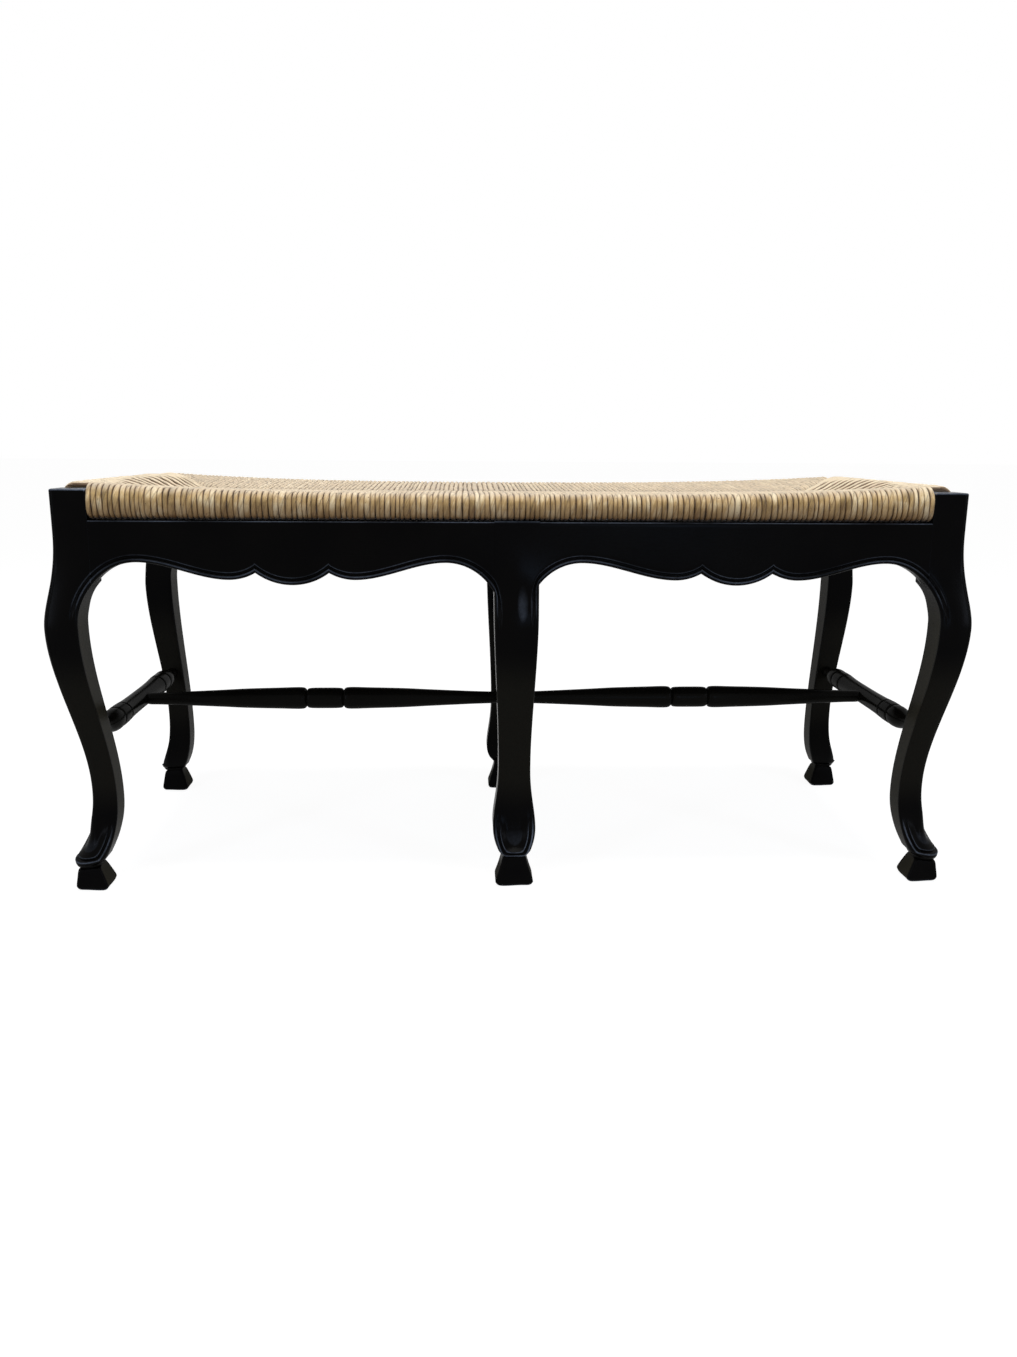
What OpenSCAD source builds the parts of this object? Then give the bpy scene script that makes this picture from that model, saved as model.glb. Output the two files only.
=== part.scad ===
// Long bench with six cabriole legs, scalloped aprons, turned stretchers and a rush seat.
// X runs along the bench, Y from front to back, Z up. The origin lies on the floor,
// under the middle of the bench.

/* [Frame] */
// Distance between the outer faces of the left and right posts
frame_length = 1050; // [900:2:1200]
// Distance between the outer faces of the front and rear posts
frame_depth = 400; // [350:2:460]
// Height of the post tops above the floor
post_height = 480; // [472:2:520]
// Thickness of a square corner post above the knee
post_side = 41; // [36:1:46]
// Width of a middle leg where the aprons meet it
middle_leg_width = 52; // [44:1:60]
// How far the top edge of the aprons lies below the post tops
apron_drop = 34; // [28:1:40]

/* [Legs] */
// How far the point where the knee stands out most lies below the apron top
knee_drop = 124; // [112:1:140]
// How far the knee stands out beyond the post
knee_reach = 13; // [8:1:22]
// How far below the apron top the knee starts to swell from the post
shoulder_drop = 7; // [4:1:28]
// Height of the thinnest point above the foot
ankle_height = 121; // [108:1:136]
// How far the outer face of the ankle lies inside the post face
ankle_inset = 14; // [8:1:20]
// How far the inner face of the ankle stands in beyond the post
ankle_overhang = 3; // [0:1:8]
// Half the width of a middle leg at its waist
waist_half_width = 19.5; // [16:0.5:23]
// Height of the waist of a middle leg
waist_height = 150; // [140:1:175]

/* [Feet] */
// Height of the tip of the toe
toe_height = 36; // [34:1:41]
// How far the toe reaches out beyond the post
toe_reach = 8; // [5:1:14]
// How far the inner face of the toe lies outside the inner post face
toe_heel = 13; // [9:1:15]
// Half the width of a middle toe where it is widest
toe_half_width = 27; // [22:1:30]
// Side of the flared block under a corner toe
block_side = 39; // [35:1:44]
// Width of the flared block under a middle toe
middle_block_width = 46; // [40:1:52]
// Side of the block where it meets the toe
block_neck = 26; // [23:1:30]
// Height of the block where it meets the toe
block_height = 27; // [24:1:29]

/* [Aprons] */
// Thickness of an apron board
apron_thickness = 20; // [16:1:24]
// How far the crowns of the arches beside the legs lie below the apron top
crown_drop = 46; // [40:1:52]
// Radius of the arch that runs from the apron into the leg
arch_radius = 66; // [60:1:72]
// Distance from the post to the crown of the arch
crown_run = 50; // [44:1:54]
// Depth of the apron at the middle lobe
lobe_drop = 74; // [71:1:80]
// Half the width of the middle lobe
lobe_half_width = 42; // [34:1:50]
// Depth of the apron at the cusps beside the middle lobe
cusp_drop = 60; // [56:1:64]
// Distance from the middle of the bay to the lowest point of a side lobe
side_lobe_run = 72; // [64:1:84]
// Depth of the apron at the side lobes
side_lobe_drop = 68; // [65:1:72]
// How far the scallops stand off the middle of the bay, toward the post
bay_shift = 3; // [0:1:8]
// Depth of the curved apron at each end of the bench
end_apron_drop = 60; // [54:1:66]
// Width of the bead along the lower edge
bead_width = 6; // [4:0.5:8]
// Width of the groove above the bead
groove_width = 3; // [2:0.5:5]
// Depth of the groove above the bead
groove_depth = 2; // [1:0.25:3]

/* [Stretchers] */
// Height of the stretcher axes above the floor
stretcher_height = 190; // [170:1:220]
// Diameter of the plain middle of a cross stretcher
cross_diameter = 25; // [22:0.5:28]
// Diameter of the rings and balls of a cross stretcher
ball_diameter = 28; // [26:0.5:32]
// Distance from the bench's middle to the inner ring groove
inner_groove_run = 76; // [60:1:84]
// Distance between the two ring grooves at one end
ring_length = 27; // [16:1:30]
// Length of the ball outside the outer ring groove
ball_length = 36; // [26:1:38]
// Largest diameter of a long stretcher
swell_diameter = 30; // [26:0.5:34]
// Diameter of a long stretcher where it meets a cross stretcher
tip_diameter = 16; // [14:0.5:18]
// Length of the barrel between the two grooves of a long stretcher
barrel_length = 50; // [40:1:60]
// Depth of the turned V grooves
turned_groove = 3.5; // [2:0.25:4.5]

/* [Seat] */
// Width of a seat rail, across the rail
rail_width = 22; // [18:1:24]
// Height of a seat rail
rail_height = 17; // [15:0.5:18]
// Thickness of the rush round a rail
rush_thickness = 7; // [5:0.5:8]
// How far the rails at the two ends of the bench sit above the long rails
end_rail_lift = 5; // [2:0.5:8]
// Height of the rolled front edge above the apron, at the middle of the bench
roll_height = 30.5; // [29:0.5:34]
// How much higher the rolled edge stands beside the posts
roll_rise = 10.5; // [4:0.5:14]
// How far the rush at the ends stands above the front roll beside the posts
mound_rise = 4; // [1:0.5:8]
// How far the middle of the seat hangs below the front roll
seat_dip = 5; // [2:0.5:8]
// Depth of the mitred seams in the rush
seam_dip = 3; // [1:0.5:4]
// Distance from the post to the point where the mitred seams meet
seam_run = 102; // [90:2:150]

/* [Joints] */
// Depth of every mortise and tenon
tenon_depth = 14; // [10:1:16]
// Diameter of the round tenons on the seat rails and cross stretchers
round_tenon = 13; // [11:0.5:14]
// Diameter of the round tenons on the long stretchers
slim_tenon = 11; // [8:0.5:12]
// Depth of the round tenons on the long stretchers
slim_tenon_depth = 9; // [6:0.5:10]
// Thickness of the flat tenons on the aprons
flat_tenon = 9; // [7:0.5:10]
// Height of the flat tenons on the aprons
flat_tenon_height = 36; // [28:1:40]
// Clearance between a piece and what it fits
fit = 0.2; // [0.1:0.05:0.3]

/* [Hidden] */

ebony = "#15151a";
straw = "#b79f72";
pale_wood = "#b08f62";

apron_top = post_height - apron_drop;
shoulder_height = apron_top - shoulder_drop;
knee_height = apron_top - knee_drop;
crown_height = apron_top - crown_drop;
cusp_height = apron_top - cusp_drop;
lobe_height = apron_top - lobe_drop;
side_lobe_height = apron_top - side_lobe_drop;
end_apron_height = apron_top - end_apron_drop;
half_length = frame_length / 2;
half_depth = frame_depth / 2;
post_in_x = half_length - post_side;
post_in_y = half_depth - post_side;
side_smooth = 64;

// Smooth step from 0 to 1, flat at both ends
function ease(t) = let (c = max(0, min(1, t))) c * c * (3 - 2 * c);
function mix(a, b, t) = a + (b - a) * t;

// Leg profile. The knee curve is fuller near the knee, the toe curve runs out in a sweep.
knee_fullness = 1.4;
toe_sweep = 2.3;
knee_flat = 14;
knee_inset = arch_radius - crown_run;
arch_base = crown_height - arch_radius;
arch_join = arch_base + sqrt(pow(arch_radius, 2) - pow(crown_run, 2));
ankle_back_height = ankle_height - 13;

// Distance of the outer face beyond the outer post face, at height z
function outer_shift(z) =
  z >= knee_height ? knee_reach * ease(pow(max(0, shoulder_height - z)
    / (shoulder_height - knee_height), knee_fullness))
  : z >= ankle_height ? mix(knee_reach, -ankle_inset, ease((knee_height - z)
    / (knee_height - ankle_height)))
  : mix(-ankle_inset, toe_reach, pow((ankle_height - max(z, toe_height))
    / (ankle_height - toe_height), toe_sweep));

// Distance of the inner face outside the inner post face, at height z
function inner_shift(z) =
  z >= arch_join ? 0
  : z >= arch_base ? sqrt(pow(arch_radius, 2) - pow(z - arch_base, 2)) - crown_run
  : z >= ankle_back_height ? mix(knee_inset, -ankle_overhang,
    ease((arch_base - knee_flat - z) / (arch_base - knee_flat - ankle_back_height)))
  : mix(-ankle_overhang, toe_heel, pow((ankle_back_height - max(z, toe_height))
    / (ankle_back_height - toe_height), toe_sweep));

// Half the width of a middle leg at height z, widest at toe_wide_height
toe_wide_height = toe_height + 35;
toe_oval_height = 42;
waist_top = knee_height + 33;
function half_width(z) =
  z >= waist_height ? mix(middle_leg_width / 2, waist_half_width,
    ease((waist_top - z) / (waist_top - waist_height)))
  : z >= toe_wide_height ? mix(waist_half_width, toe_half_width,
    ease(pow((waist_height - z) / (waist_height - toe_wide_height), 1.3)))
  : toe_half_width * sqrt(1 - pow((toe_wide_height - z) / toe_oval_height, 2));

// One level of a leg: [height, inner x, outer x, inner y, outer y, outer radius, slope].
// A level climbs from its outer corner at its slope and levels off after tilt_run.
edge_radius = 2.5;
outer_radius = 6;
toe_radius = 14;
lip_drop = 3;
lip_inset = 4;
block_edge = 2.5;
toe_slope = 0.5;
block_reach = toe_reach;
block_in = block_reach - block_side;
neck_out = block_reach - (block_side - block_neck) * 0.7;
toe_rises = [2, 8, 17, 28, 40, 54];
shank_base = toe_height + 54;
shank_steps = [0.06, 0.12, 0.19, 0.27, 0.36, 0.46, 0.54, 0.63, 0.72, 0.8, 0.87, 0.93];
tilt_run = 18;
function rise(d) = tilt_run * (1 - exp(-d / tilt_run));
function slope_at(z) = toe_slope * (1 - ease((z - toe_height) / (ankle_height - 12 - toe_height)));
function radius_at(z) = mix(toe_radius, outer_radius, ease((z - toe_height) / 50));
leg_heights = concat(
  [for (d = toe_rises) toe_height + d],
  [for (t = shank_steps) mix(shank_base, arch_base, t)],
  [for (k = [0:5]) arch_base + (arch_join - arch_base) * sin(18 * k)],
  [arch_join + 2, mix(arch_join, shoulder_height, 0.35), mix(arch_join, shoulder_height, 0.7),
   shoulder_height]
);

function corner_level(z) =
  let (s = slope_at(z), zi = z + s * rise(post_side))
  [z, post_in_x + inner_shift(zi), half_length + outer_shift(z),
   post_in_y + inner_shift(zi), half_depth + outer_shift(z), radius_at(z), s];

corner_block_levels = [
  for (v = [[0, block_in + 1.5, block_reach - 1.5, 4, 0],
            [block_edge, block_in, block_reach, 4, 0],
            [block_height, neck_out - block_neck, neck_out, 4, 0.2],
            [toe_height - lip_drop - 1, toe_heel - post_side + 2, toe_reach - lip_inset,
             toe_radius - 2, 0.45]])
    [v[0], half_length + v[1], half_length + v[2], half_depth + v[1], half_depth + v[2], v[3], v[4]]
];

// Rounded rectangle, counterclockwise, tilted up away from its outer corner
arc_steps = 3;
function arc(cx, cy, r, a) = [for (k = [0:arc_steps]) [cx + r * cos(a + 90 * k / arc_steps),
  cy + r * sin(a + 90 * k / arc_steps)]];
function corner_ring(v) =
  let (x0 = v[1], x1 = v[2], y0 = v[3], y1 = v[4], r = edge_radius, q = v[5],
       flat = concat(arc(x0 + r, y0 + r, r, 180), arc(x1 - r, y0 + r, r, 270),
                     arc(x1 - q, y1 - q, q, 0), arc(x0 + r, y1 - r, r, 90)))
  [for (p = flat) [p[0], p[1], v[0] + v[6] * rise(max(0, (x1 - p[0]) + (y1 - p[1]) - 0.6 * q) / sqrt(2))]];

// Solid through a stack of rings with the same number of points, lowest ring first
module loft(rings) {
  n = len(rings[0]);
  m = len(rings);
  sides = [for (i = [0:m - 2], k = [0:n - 1]) let (a = i * n + k, b = i * n + (k + 1) % n)
    each [[a, a + n, b + n], [a, b + n, b]]];
  polyhedron(points = [for (r = rings) each r],
    faces = concat([[for (k = [0:n - 1]) k]], sides, [[for (k = [n - 1:-1:0]) (m - 1) * n + k]]),
    convexity = 6);
}

// Round tenon bore and flat tenon mortise, both opening toward the middle of the bench
module bore(diameter, depth) {
  rotate([90, 0, 0]) translate([0, 0, -depth - fit])
    cylinder(d = diameter + 2 * fit, h = depth + 10, $fn = side_smooth);
}
module mortise_y(depth, height) {
  translate([-flat_tenon / 2 - fit, -10, -height / 2 - fit])
    cube([flat_tenon + 2 * fit, depth + fit + 10, height + 2 * fit]);
}
module mortise_x(depth, height) {
  translate([-10, -flat_tenon / 2 - fit, -height / 2 - fit])
    cube([depth + fit + 10, flat_tenon + 2 * fit, height + 2 * fit]);
}

// Places shared by the joints
long_rail_y = half_depth + 1 - rush_thickness - rail_width / 2;
end_rail_x = half_length + 1 - rush_thickness - rail_width / 2;
rush_bottom = apron_top + 0.3;
long_rail_z = rush_bottom + rush_thickness + rail_height / 2;
end_rail_z = long_rail_z + end_rail_lift;
long_apron_y = half_depth - apron_thickness / 2;
end_apron_x = half_length - apron_thickness / 2;
apron_tenon_z = apron_top - 8 - flat_tenon_height / 2;
brace_height = 24;
brace_width = 20;
brace_z = apron_top - 3 - brace_height / 2;
brace_tenon_height = 18;
stretcher_leg_in = post_in_y + inner_shift(stretcher_height);
cross_x = (post_in_x + inner_shift(stretcher_height)
  + half_length + outer_shift(stretcher_height)) / 2;

post_chamfer = 1;
module corner_leg_blank() {
  top_ring = corner_level(post_height);
  levels = concat(corner_block_levels, [for (z = leg_heights) corner_level(z)],
    [corner_level(post_height - post_chamfer)],
    [[post_height, top_ring[1] + post_chamfer, top_ring[2] - post_chamfer,
      top_ring[3] + post_chamfer, top_ring[4] - post_chamfer, outer_radius - post_chamfer, 0]]);
  loft([for (v = levels) corner_ring(v)]);
}

// Corner leg, in the quarter where x and y are positive
module corner_leg() {
  color(ebony) difference() {
    corner_leg_blank();
    translate([post_in_x, long_apron_y, apron_tenon_z]) mortise_x(tenon_depth, flat_tenon_height);
    translate([end_apron_x, post_in_y, apron_tenon_z]) mortise_y(tenon_depth, flat_tenon_height);
    translate([post_in_x, long_rail_y, long_rail_z]) rotate([0, 0, -90]) bore(round_tenon, tenon_depth);
    translate([end_rail_x, post_in_y, end_rail_z]) bore(round_tenon, tenon_depth);
    translate([cross_x, stretcher_leg_in, stretcher_height]) bore(round_tenon, tenon_depth);
  }
}

// Middle leg, on the side where y is positive
function middle_level(z) =
  let (s = slope_at(z) * 0.7, zi = z + s * rise(post_side))
  [z, -half_width(z), half_width(z), post_in_y + inner_shift(zi), half_depth + outer_shift(z),
   min(radius_at(z), half_width(z) * 0.8), s];
middle_neck_half = block_neck / 2 + 1;
lip_half = half_width(toe_height) * 0.75;
middle_block_levels = [
  [0, 1.5 - middle_block_width / 2, middle_block_width / 2 - 1.5,
   half_depth + block_in + 1.5, half_depth + block_reach - 1.5, 4, 0],
  [block_edge, -middle_block_width / 2, middle_block_width / 2,
   half_depth + block_in, half_depth + block_reach, 4, 0],
  [block_height, -middle_neck_half, middle_neck_half,
   half_depth + neck_out - block_neck, half_depth + neck_out, 4, 0.15],
  [toe_height - lip_drop - 1, -lip_half, lip_half,
   half_depth + toe_heel - post_side + 2, half_depth + toe_reach - lip_inset, lip_half * 0.7, 0.3]
];
function middle_ring(v) =
  let (x0 = v[1], x1 = v[2], y0 = v[3], y1 = v[4], r = edge_radius, q = v[5],
       flat = concat(arc(x0 + r, y0 + r, r, 180), arc(x1 - r, y0 + r, r, 270),
                     arc(x1 - q, y1 - q, q, 0), arc(x0 + q, y1 - q, q, 90)))
  [for (p = flat) [p[0], p[1], v[0] + v[6] * rise(y1 - p[1])]];

module middle_leg() {
  levels = concat(middle_block_levels, [for (z = leg_heights) middle_level(z)],
    [middle_level(apron_top)]);
  color(ebony) difference() {
    loft([for (v = levels) middle_ring(v)]);
    for (side = [0, 1]) mirror([side, 0, 0])
      translate([middle_leg_width / 2, long_apron_y, apron_tenon_z])
        mirror([1, 0, 0]) mortise_x(tenon_depth, flat_tenon_height);
    translate([0, post_in_y, brace_z]) mortise_y(tenon_depth, brace_tenon_height);
    translate([0, stretcher_leg_in, stretcher_height]) bore(round_tenon, tenon_depth);
  }
}

// Lower edge of an apron. u is the distance from the middle of the scallops.
bay_length = post_in_x - middle_leg_width / 2;
bay_middle = middle_leg_width / 2 + bay_length / 2 + bay_shift;
front_crown_u = post_in_x - crown_run - bay_middle;
lobe_radius = (pow(lobe_half_width, 2) + pow(cusp_height - lobe_height, 2))
  / (2 * (cusp_height - lobe_height));
side_lobe_chord = side_lobe_run - lobe_half_width;
side_lobe_radius = (pow(side_lobe_chord, 2) + pow(cusp_height - side_lobe_height, 2))
  / (2 * (cusp_height - side_lobe_height));
function arch_edge(u, crown_u) =
  crown_height - arch_radius + sqrt(max(0, pow(arch_radius, 2) - pow(u - crown_u, 2)));
function scallop_edge(u) =
  u <= lobe_half_width ? lobe_height + lobe_radius - sqrt(pow(lobe_radius, 2) - pow(u, 2))
  : u <= side_lobe_run ? side_lobe_height + side_lobe_radius
    - sqrt(pow(side_lobe_radius, 2) - pow(side_lobe_run - u, 2))
  : u <= front_crown_u ? mix(side_lobe_height, crown_height,
    ease((u - side_lobe_run) / (front_crown_u - side_lobe_run)))
  : arch_edge(u, front_crown_u);
end_crown_u = post_in_y - crown_run;
function end_edge(u) = u <= end_crown_u
  ? mix(end_apron_height, crown_height, ease(u / end_crown_u)) : arch_edge(u, end_crown_u);

function spread(a, b, n) = [for (k = [0:n - 1]) a + (b - a) * k / n];
function half_stations(reach) = concat(
  spread(0, lobe_half_width, 6), spread(lobe_half_width, side_lobe_run, 4),
  spread(side_lobe_run, front_crown_u, 8), spread(front_crown_u, reach, 9), [reach]);
function both_sides(left, right) = concat([for (k = [len(left) - 1:-1:1]) -left[k]], right);

// Points of the lower edge along the board, moved square to the edge by w and cut at its ends
function moved_edge(edge, w) =
  let (first = edge[0][0], last = edge[len(edge) - 1][0],
       raw = [for (k = [0:len(edge) - 1])
         let (a = edge[max(0, k - 1)], b = edge[min(len(edge) - 1, k + 1)], d = (b - a) / norm(b - a))
         [edge[k][0] - w * d[1], edge[k][1] + w * d[0]]])
  concat([[first, lookup(first, raw)]],
    [for (p = raw) if (p[0] > first + 0.2 && p[0] < last - 0.2) p], [[last, lookup(last, raw)]]);
function reversed(list) = [for (k = [len(list) - 1:-1:0]) list[k]];

// Board with a bead and a groove along its lower edge, its face at y = 0, its back at -y
module moulded_board(edge, tenon_ends) {
  first = edge[0];
  last = edge[len(edge) - 1];
  top = [[last[0], apron_top], [first[0], apron_top]];
  rotate([90, 0, 0]) {
    translate([0, 0, groove_depth]) linear_extrude(apron_thickness - groove_depth)
      polygon(concat(edge, top));
    linear_extrude(groove_depth + 0.5) polygon(concat(edge, reversed(moved_edge(edge, bead_width))));
    linear_extrude(groove_depth + 0.5)
      polygon(concat(moved_edge(edge, bead_width + groove_width), top));
  }
  for (x = tenon_ends)
    translate([x, -apron_thickness / 2, apron_tenon_z])
      cube([2 * tenon_depth, flat_tenon, flat_tenon_height], center = true);
}

// Front apron of the bay where x is positive, at the rear where y is positive
module long_apron() {
  left_reach = bay_middle - middle_leg_width / 2;
  right_reach = post_in_x - bay_middle;
  stations = both_sides(half_stations(left_reach), half_stations(right_reach));
  edge = [for (u = stations) [bay_middle + u, scallop_edge(abs(u))]];
  color(ebony) translate([0, half_depth, 0])
    moulded_board(edge, [middle_leg_width / 2, post_in_x]);
}

module end_apron() {
  half = concat(spread(0, end_crown_u, 8), spread(end_crown_u, post_in_y, 9), [post_in_y]);
  edge = [for (u = both_sides(half, half)) [u, end_edge(abs(u))]];
  color(ebony) translate([half_length, 0, 0]) rotate([0, 0, -90])
    moulded_board(edge, [-post_in_y, post_in_y]);
}

// Seat rail along x, with rounded edges and a round tenon at each end
rail_edge = 5;
module rounded_rail(length) {
  rotate([90, 0, 90]) translate([0, 0, -length / 2]) linear_extrude(length) union() {
    square([rail_width - 2 * rail_edge, rail_height], center = true);
    square([rail_width, rail_height - 2 * rail_edge], center = true);
    for (x = [-1, 1], y = [-1, 1])
      translate([x * (rail_width / 2 - rail_edge), y * (rail_height / 2 - rail_edge)])
        circle(r = rail_edge, $fn = 32);
  }
}
module seat_rail(length) {
  color(pale_wood) {
    rounded_rail(length);
    rotate([0, 90, 0]) cylinder(d = round_tenon, h = length + 2 * tenon_depth, center = true,
      $fn = side_smooth);
  }
}
module long_rail() {
  translate([0, long_rail_y, long_rail_z]) seat_rail(2 * post_in_x);
}
module end_rail() {
  translate([end_rail_x, 0, end_rail_z]) rotate([0, 0, 90]) seat_rail(2 * post_in_y);
}
module seat_brace() {
  color(pale_wood) translate([0, 0, brace_z]) {
    cube([brace_width, 2 * post_in_y, brace_height], center = true);
    cube([flat_tenon, 2 * (post_in_y + tenon_depth), brace_tenon_height], center = true);
  }
}

// Half of a turned outline, from the middle to the end: [distance, radius]
groove_half = 2;
ball_start = inner_groove_run + ring_length + groove_half;
ball_steps = 7;
cross_half_outline = concat(
  [[0, cross_diameter / 2], [inner_groove_run * 0.6, cross_diameter / 2 + 0.3],
   [inner_groove_run - groove_half, ball_diameter / 2 - 0.6],
   [inner_groove_run, ball_diameter / 2 - turned_groove],
   [inner_groove_run + groove_half, ball_diameter / 2],
   [inner_groove_run + ring_length - groove_half, ball_diameter / 2],
   [inner_groove_run + ring_length, ball_diameter / 2 - turned_groove]],
  [for (k = [0:ball_steps]) let (t = k / ball_steps)
    [ball_start + ball_length * t, ball_diameter / 2 * sqrt(1 - pow(max(0, t - 0.2), 2) * 0.95)]],
  [[stretcher_leg_in - 5, round_tenon / 2 + 1.5], [stretcher_leg_in - 2, round_tenon / 2],
   [stretcher_leg_in + tenon_depth, round_tenon / 2]]
);
module turned(half) {
  rotate_extrude($fn = side_smooth)
    polygon(concat([for (p = reversed(half)) [p[1], -p[0]]], [for (k = [1:len(half) - 1])
      [half[k][1], half[k][0]]], [[0, half[len(half) - 1][0]], [0, -half[len(half) - 1][0]]]));
}

// Cross stretcher along y, bored for the long stretchers on the sides named
module cross_stretcher(bored_sides) {
  color(ebony) difference() {
    rotate([90, 0, 0]) turned(cross_half_outline);
    for (side = bored_sides)
      rotate([0, 90 * side, 0]) translate([0, 0, cross_diameter / 2 - slim_tenon_depth - fit])
        cylinder(d = slim_tenon + 2 * fit, h = slim_tenon_depth + 10, $fn = side_smooth);
  }
}

long_half_span = (cross_x - cross_diameter) / 2;
long_middle_x = cross_x / 2;
swell_run = barrel_length / 2 + 8;
long_half_outline = [
  [0, swell_diameter / 2 - 0.8], [barrel_length * 0.3, swell_diameter / 2 - 1],
  [barrel_length / 2 - groove_half, swell_diameter / 2 - 1.8],
  [barrel_length / 2, swell_diameter / 2 - turned_groove - 0.5],
  [barrel_length / 2 + groove_half, swell_diameter / 2 - 1],
  [swell_run, swell_diameter / 2], [swell_run + 22, swell_diameter / 2 - 0.4],
  [mix(swell_run, long_half_span, 0.45), mix(swell_diameter, tip_diameter, 0.42) / 2],
  [mix(swell_run, long_half_span, 0.75), mix(swell_diameter, tip_diameter, 0.78) / 2],
  [long_half_span - 2, tip_diameter / 2], [long_half_span - fit, tip_diameter / 2 - 1.5],
  [long_half_span - fit, slim_tenon / 2],
  [long_half_span + slim_tenon_depth, slim_tenon / 2]
];
module long_stretcher() {
  color(ebony) translate([long_middle_x, 0, stretcher_height])
    rotate([0, 90, 0]) turned(long_half_outline);
}

// Rush seat. s runs from 0 beside the posts to 1 where the mitred seams meet.
roll_reach = 16;
roll_y = half_depth + 1 - roll_reach;
roll_x = half_length + 1 - roll_reach;
crest_middle = apron_top + roll_height;
crest_end = crest_middle + roll_rise;
seat_middle = crest_middle - seat_dip;
function crest(x) = crest_middle + roll_rise * pow(min(1, abs(x) / post_in_x), 3);
function mound(t) = crest_end + mound_rise * (1 - pow((max(0, t) - 0.3) / 0.3, 2));
function roll_surface(x, y) =
  crest(x) - (crest(x) - seat_middle) * pow(max(0, 1 - abs(y) / roll_y), 1.5);
function rush_top(x, y) =
  let (t = (post_in_x - abs(x)) / seam_run, s = (post_in_y - abs(y)) / post_in_y,
       q = s - t, z = roll_surface(x, y))
  mix(z, mound(t), ease(q / 0.4)) - seam_dip * (1 - ease(abs(q) / 0.12)) * ease((1.15 - t) / 0.15);

post_gap = 0.3;
notch_y = post_in_y - post_gap;
seam_stations = [0, 0.1, 0.25, 0.42, 0.6, 0.8, 1];
top_half_y = [for (s = seam_stations) (post_in_y) * (1 - s) - (s == 0 ? post_gap : 0)];
nose_angles = [90, 50, 15, -20, -55, -90];
bottom_y = [0.75 * roll_y, 0.3 * roll_y];
ring_x = concat(
  [for (t = [1, 0.93, 0.75, 0.45]) roll_x + roll_reach * t],
  [roll_x, mix(roll_x, post_in_x, 0.5), post_in_x - post_gap],
  [for (s = seam_stations) post_in_x - seam_run * s - (s == 0 ? 2 * post_gap : 0)],
  [for (t = [0.85, 0.6, 0.3]) (post_in_x - seam_run) * t], [0]);
function nose_scale(x) = sqrt(max(0.01, 1 - pow(max(0, (abs(x) - roll_x) / roll_reach), 2)));

// One closed section of the seat, square to x, starting on the top at the rear
function rush_ring(x) =
  let (inner = abs(x) < post_in_x - 1.5 * post_gap, f = nose_scale(x),
       lift = function (z, y) let (mid = (rush_bottom + rush_top(x, y)) / 2) mid + (z - mid) * f,
       top = [for (y = top_half_y) [x, y, lift(rush_top(x, y), y)]],
       nose = [for (a = nose_angles) inner
         ? [x, roll_y + roll_reach * cos(a),
            (rush_bottom + rush_top(x, roll_y)) / 2 + (rush_top(x, roll_y) - rush_bottom) / 2 * sin(a)]
         : [x, notch_y, mix(lift(rush_bottom, notch_y), lift(rush_top(x, notch_y), notch_y),
            0.5 + 0.45 * a / 90)]],
       under = [for (y = bottom_y) [x, y, lift(rush_bottom, y)]],
       rear = concat(reversed(top), nose, under))
  concat(rear, [for (p = reversed(rear)) if (p[1] > 0.01) [p[0], -p[1], p[2]]]);

module rush_blank() {
  rings = concat([for (x = ring_x) rush_ring(-x)], [for (k = [len(ring_x) - 2:-1:0]) rush_ring(ring_x[k])]);
  n = len(rings[0]);
  m = len(rings);
  points = [for (r = rings) each r];
  end_x = max(ring_x);
  end_z = (rush_bottom + rush_top(end_x, 0)) / 2;
  sides = [for (i = [0:m - 2], k = [0:n - 1])
    let (a = i * n + k, b = i * n + (k + 1) % n,
         along = (points[a][0] + points[a + n][0]) * (points[a][1] + points[b][1]) > 0)
    each along ? [[a, a + n, b], [b, a + n, b + n]] : [[a, a + n, b + n], [a, b + n, b]]];
  ends = [for (k = [0:n - 1]) let (b = (k + 1) % n)
    each [[n * m, k, b], [n * m + 1, (m - 1) * n + b, (m - 1) * n + k]]];
  polyhedron(points = concat(points, [[-end_x, 0, end_z], [end_x, 0, end_z]]),
    faces = concat(sides, ends), convexity = 8);
}

// Wedge of loose rush between the upper and lower layers at one end, grown by g
padding_height = 9;
padding_z = rush_bottom + 19;
padding_base = post_in_x - 4;
padding_tip = post_in_x - seam_run * 0.72;
padding_half = post_in_y * 0.62;
module padding_wedge(g, base) {
  base_half = padding_half * (base - padding_tip) / (padding_base - padding_tip);
  translate([0, 0, padding_z - padding_height / 2 - g])
    linear_extrude(padding_height + 2 * g)
      polygon([[padding_tip - 2 * g, -g], [base, -base_half - 2 * g],
        [base, base_half + 2 * g], [padding_tip - 2 * g, g]]);
}
module rush_seat() {
  color(straw) difference() {
    rush_blank();
    for (side = [0, 1]) {
      mirror([0, side, 0]) translate([0, long_rail_y, long_rail_z]) rail_tunnel(2 * post_in_x);
      mirror([side, 0, 0]) translate([end_rail_x, 0, end_rail_z]) rotate([0, 0, 90])
        rail_tunnel(2 * post_in_y);
      mirror([side, 0, 0]) padding_wedge(fit, end_rail_x);
    }
  }
}
module rail_tunnel(length) {
  cube([length + 2, rail_width + 2 * fit, rail_height + 2 * fit], center = true);
}
module rush_padding() {
  color(straw) for (side = [0, 1]) mirror([side, 0, 0]) padding_wedge(0.01, padding_base);
}

// Puts a piece made for positive x and y in another quarter of the bench
module quarter(right, rear) {
  mirror([right ? 0 : 1, 0, 0]) mirror([0, rear ? 0 : 1, 0]) children();
}

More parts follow.
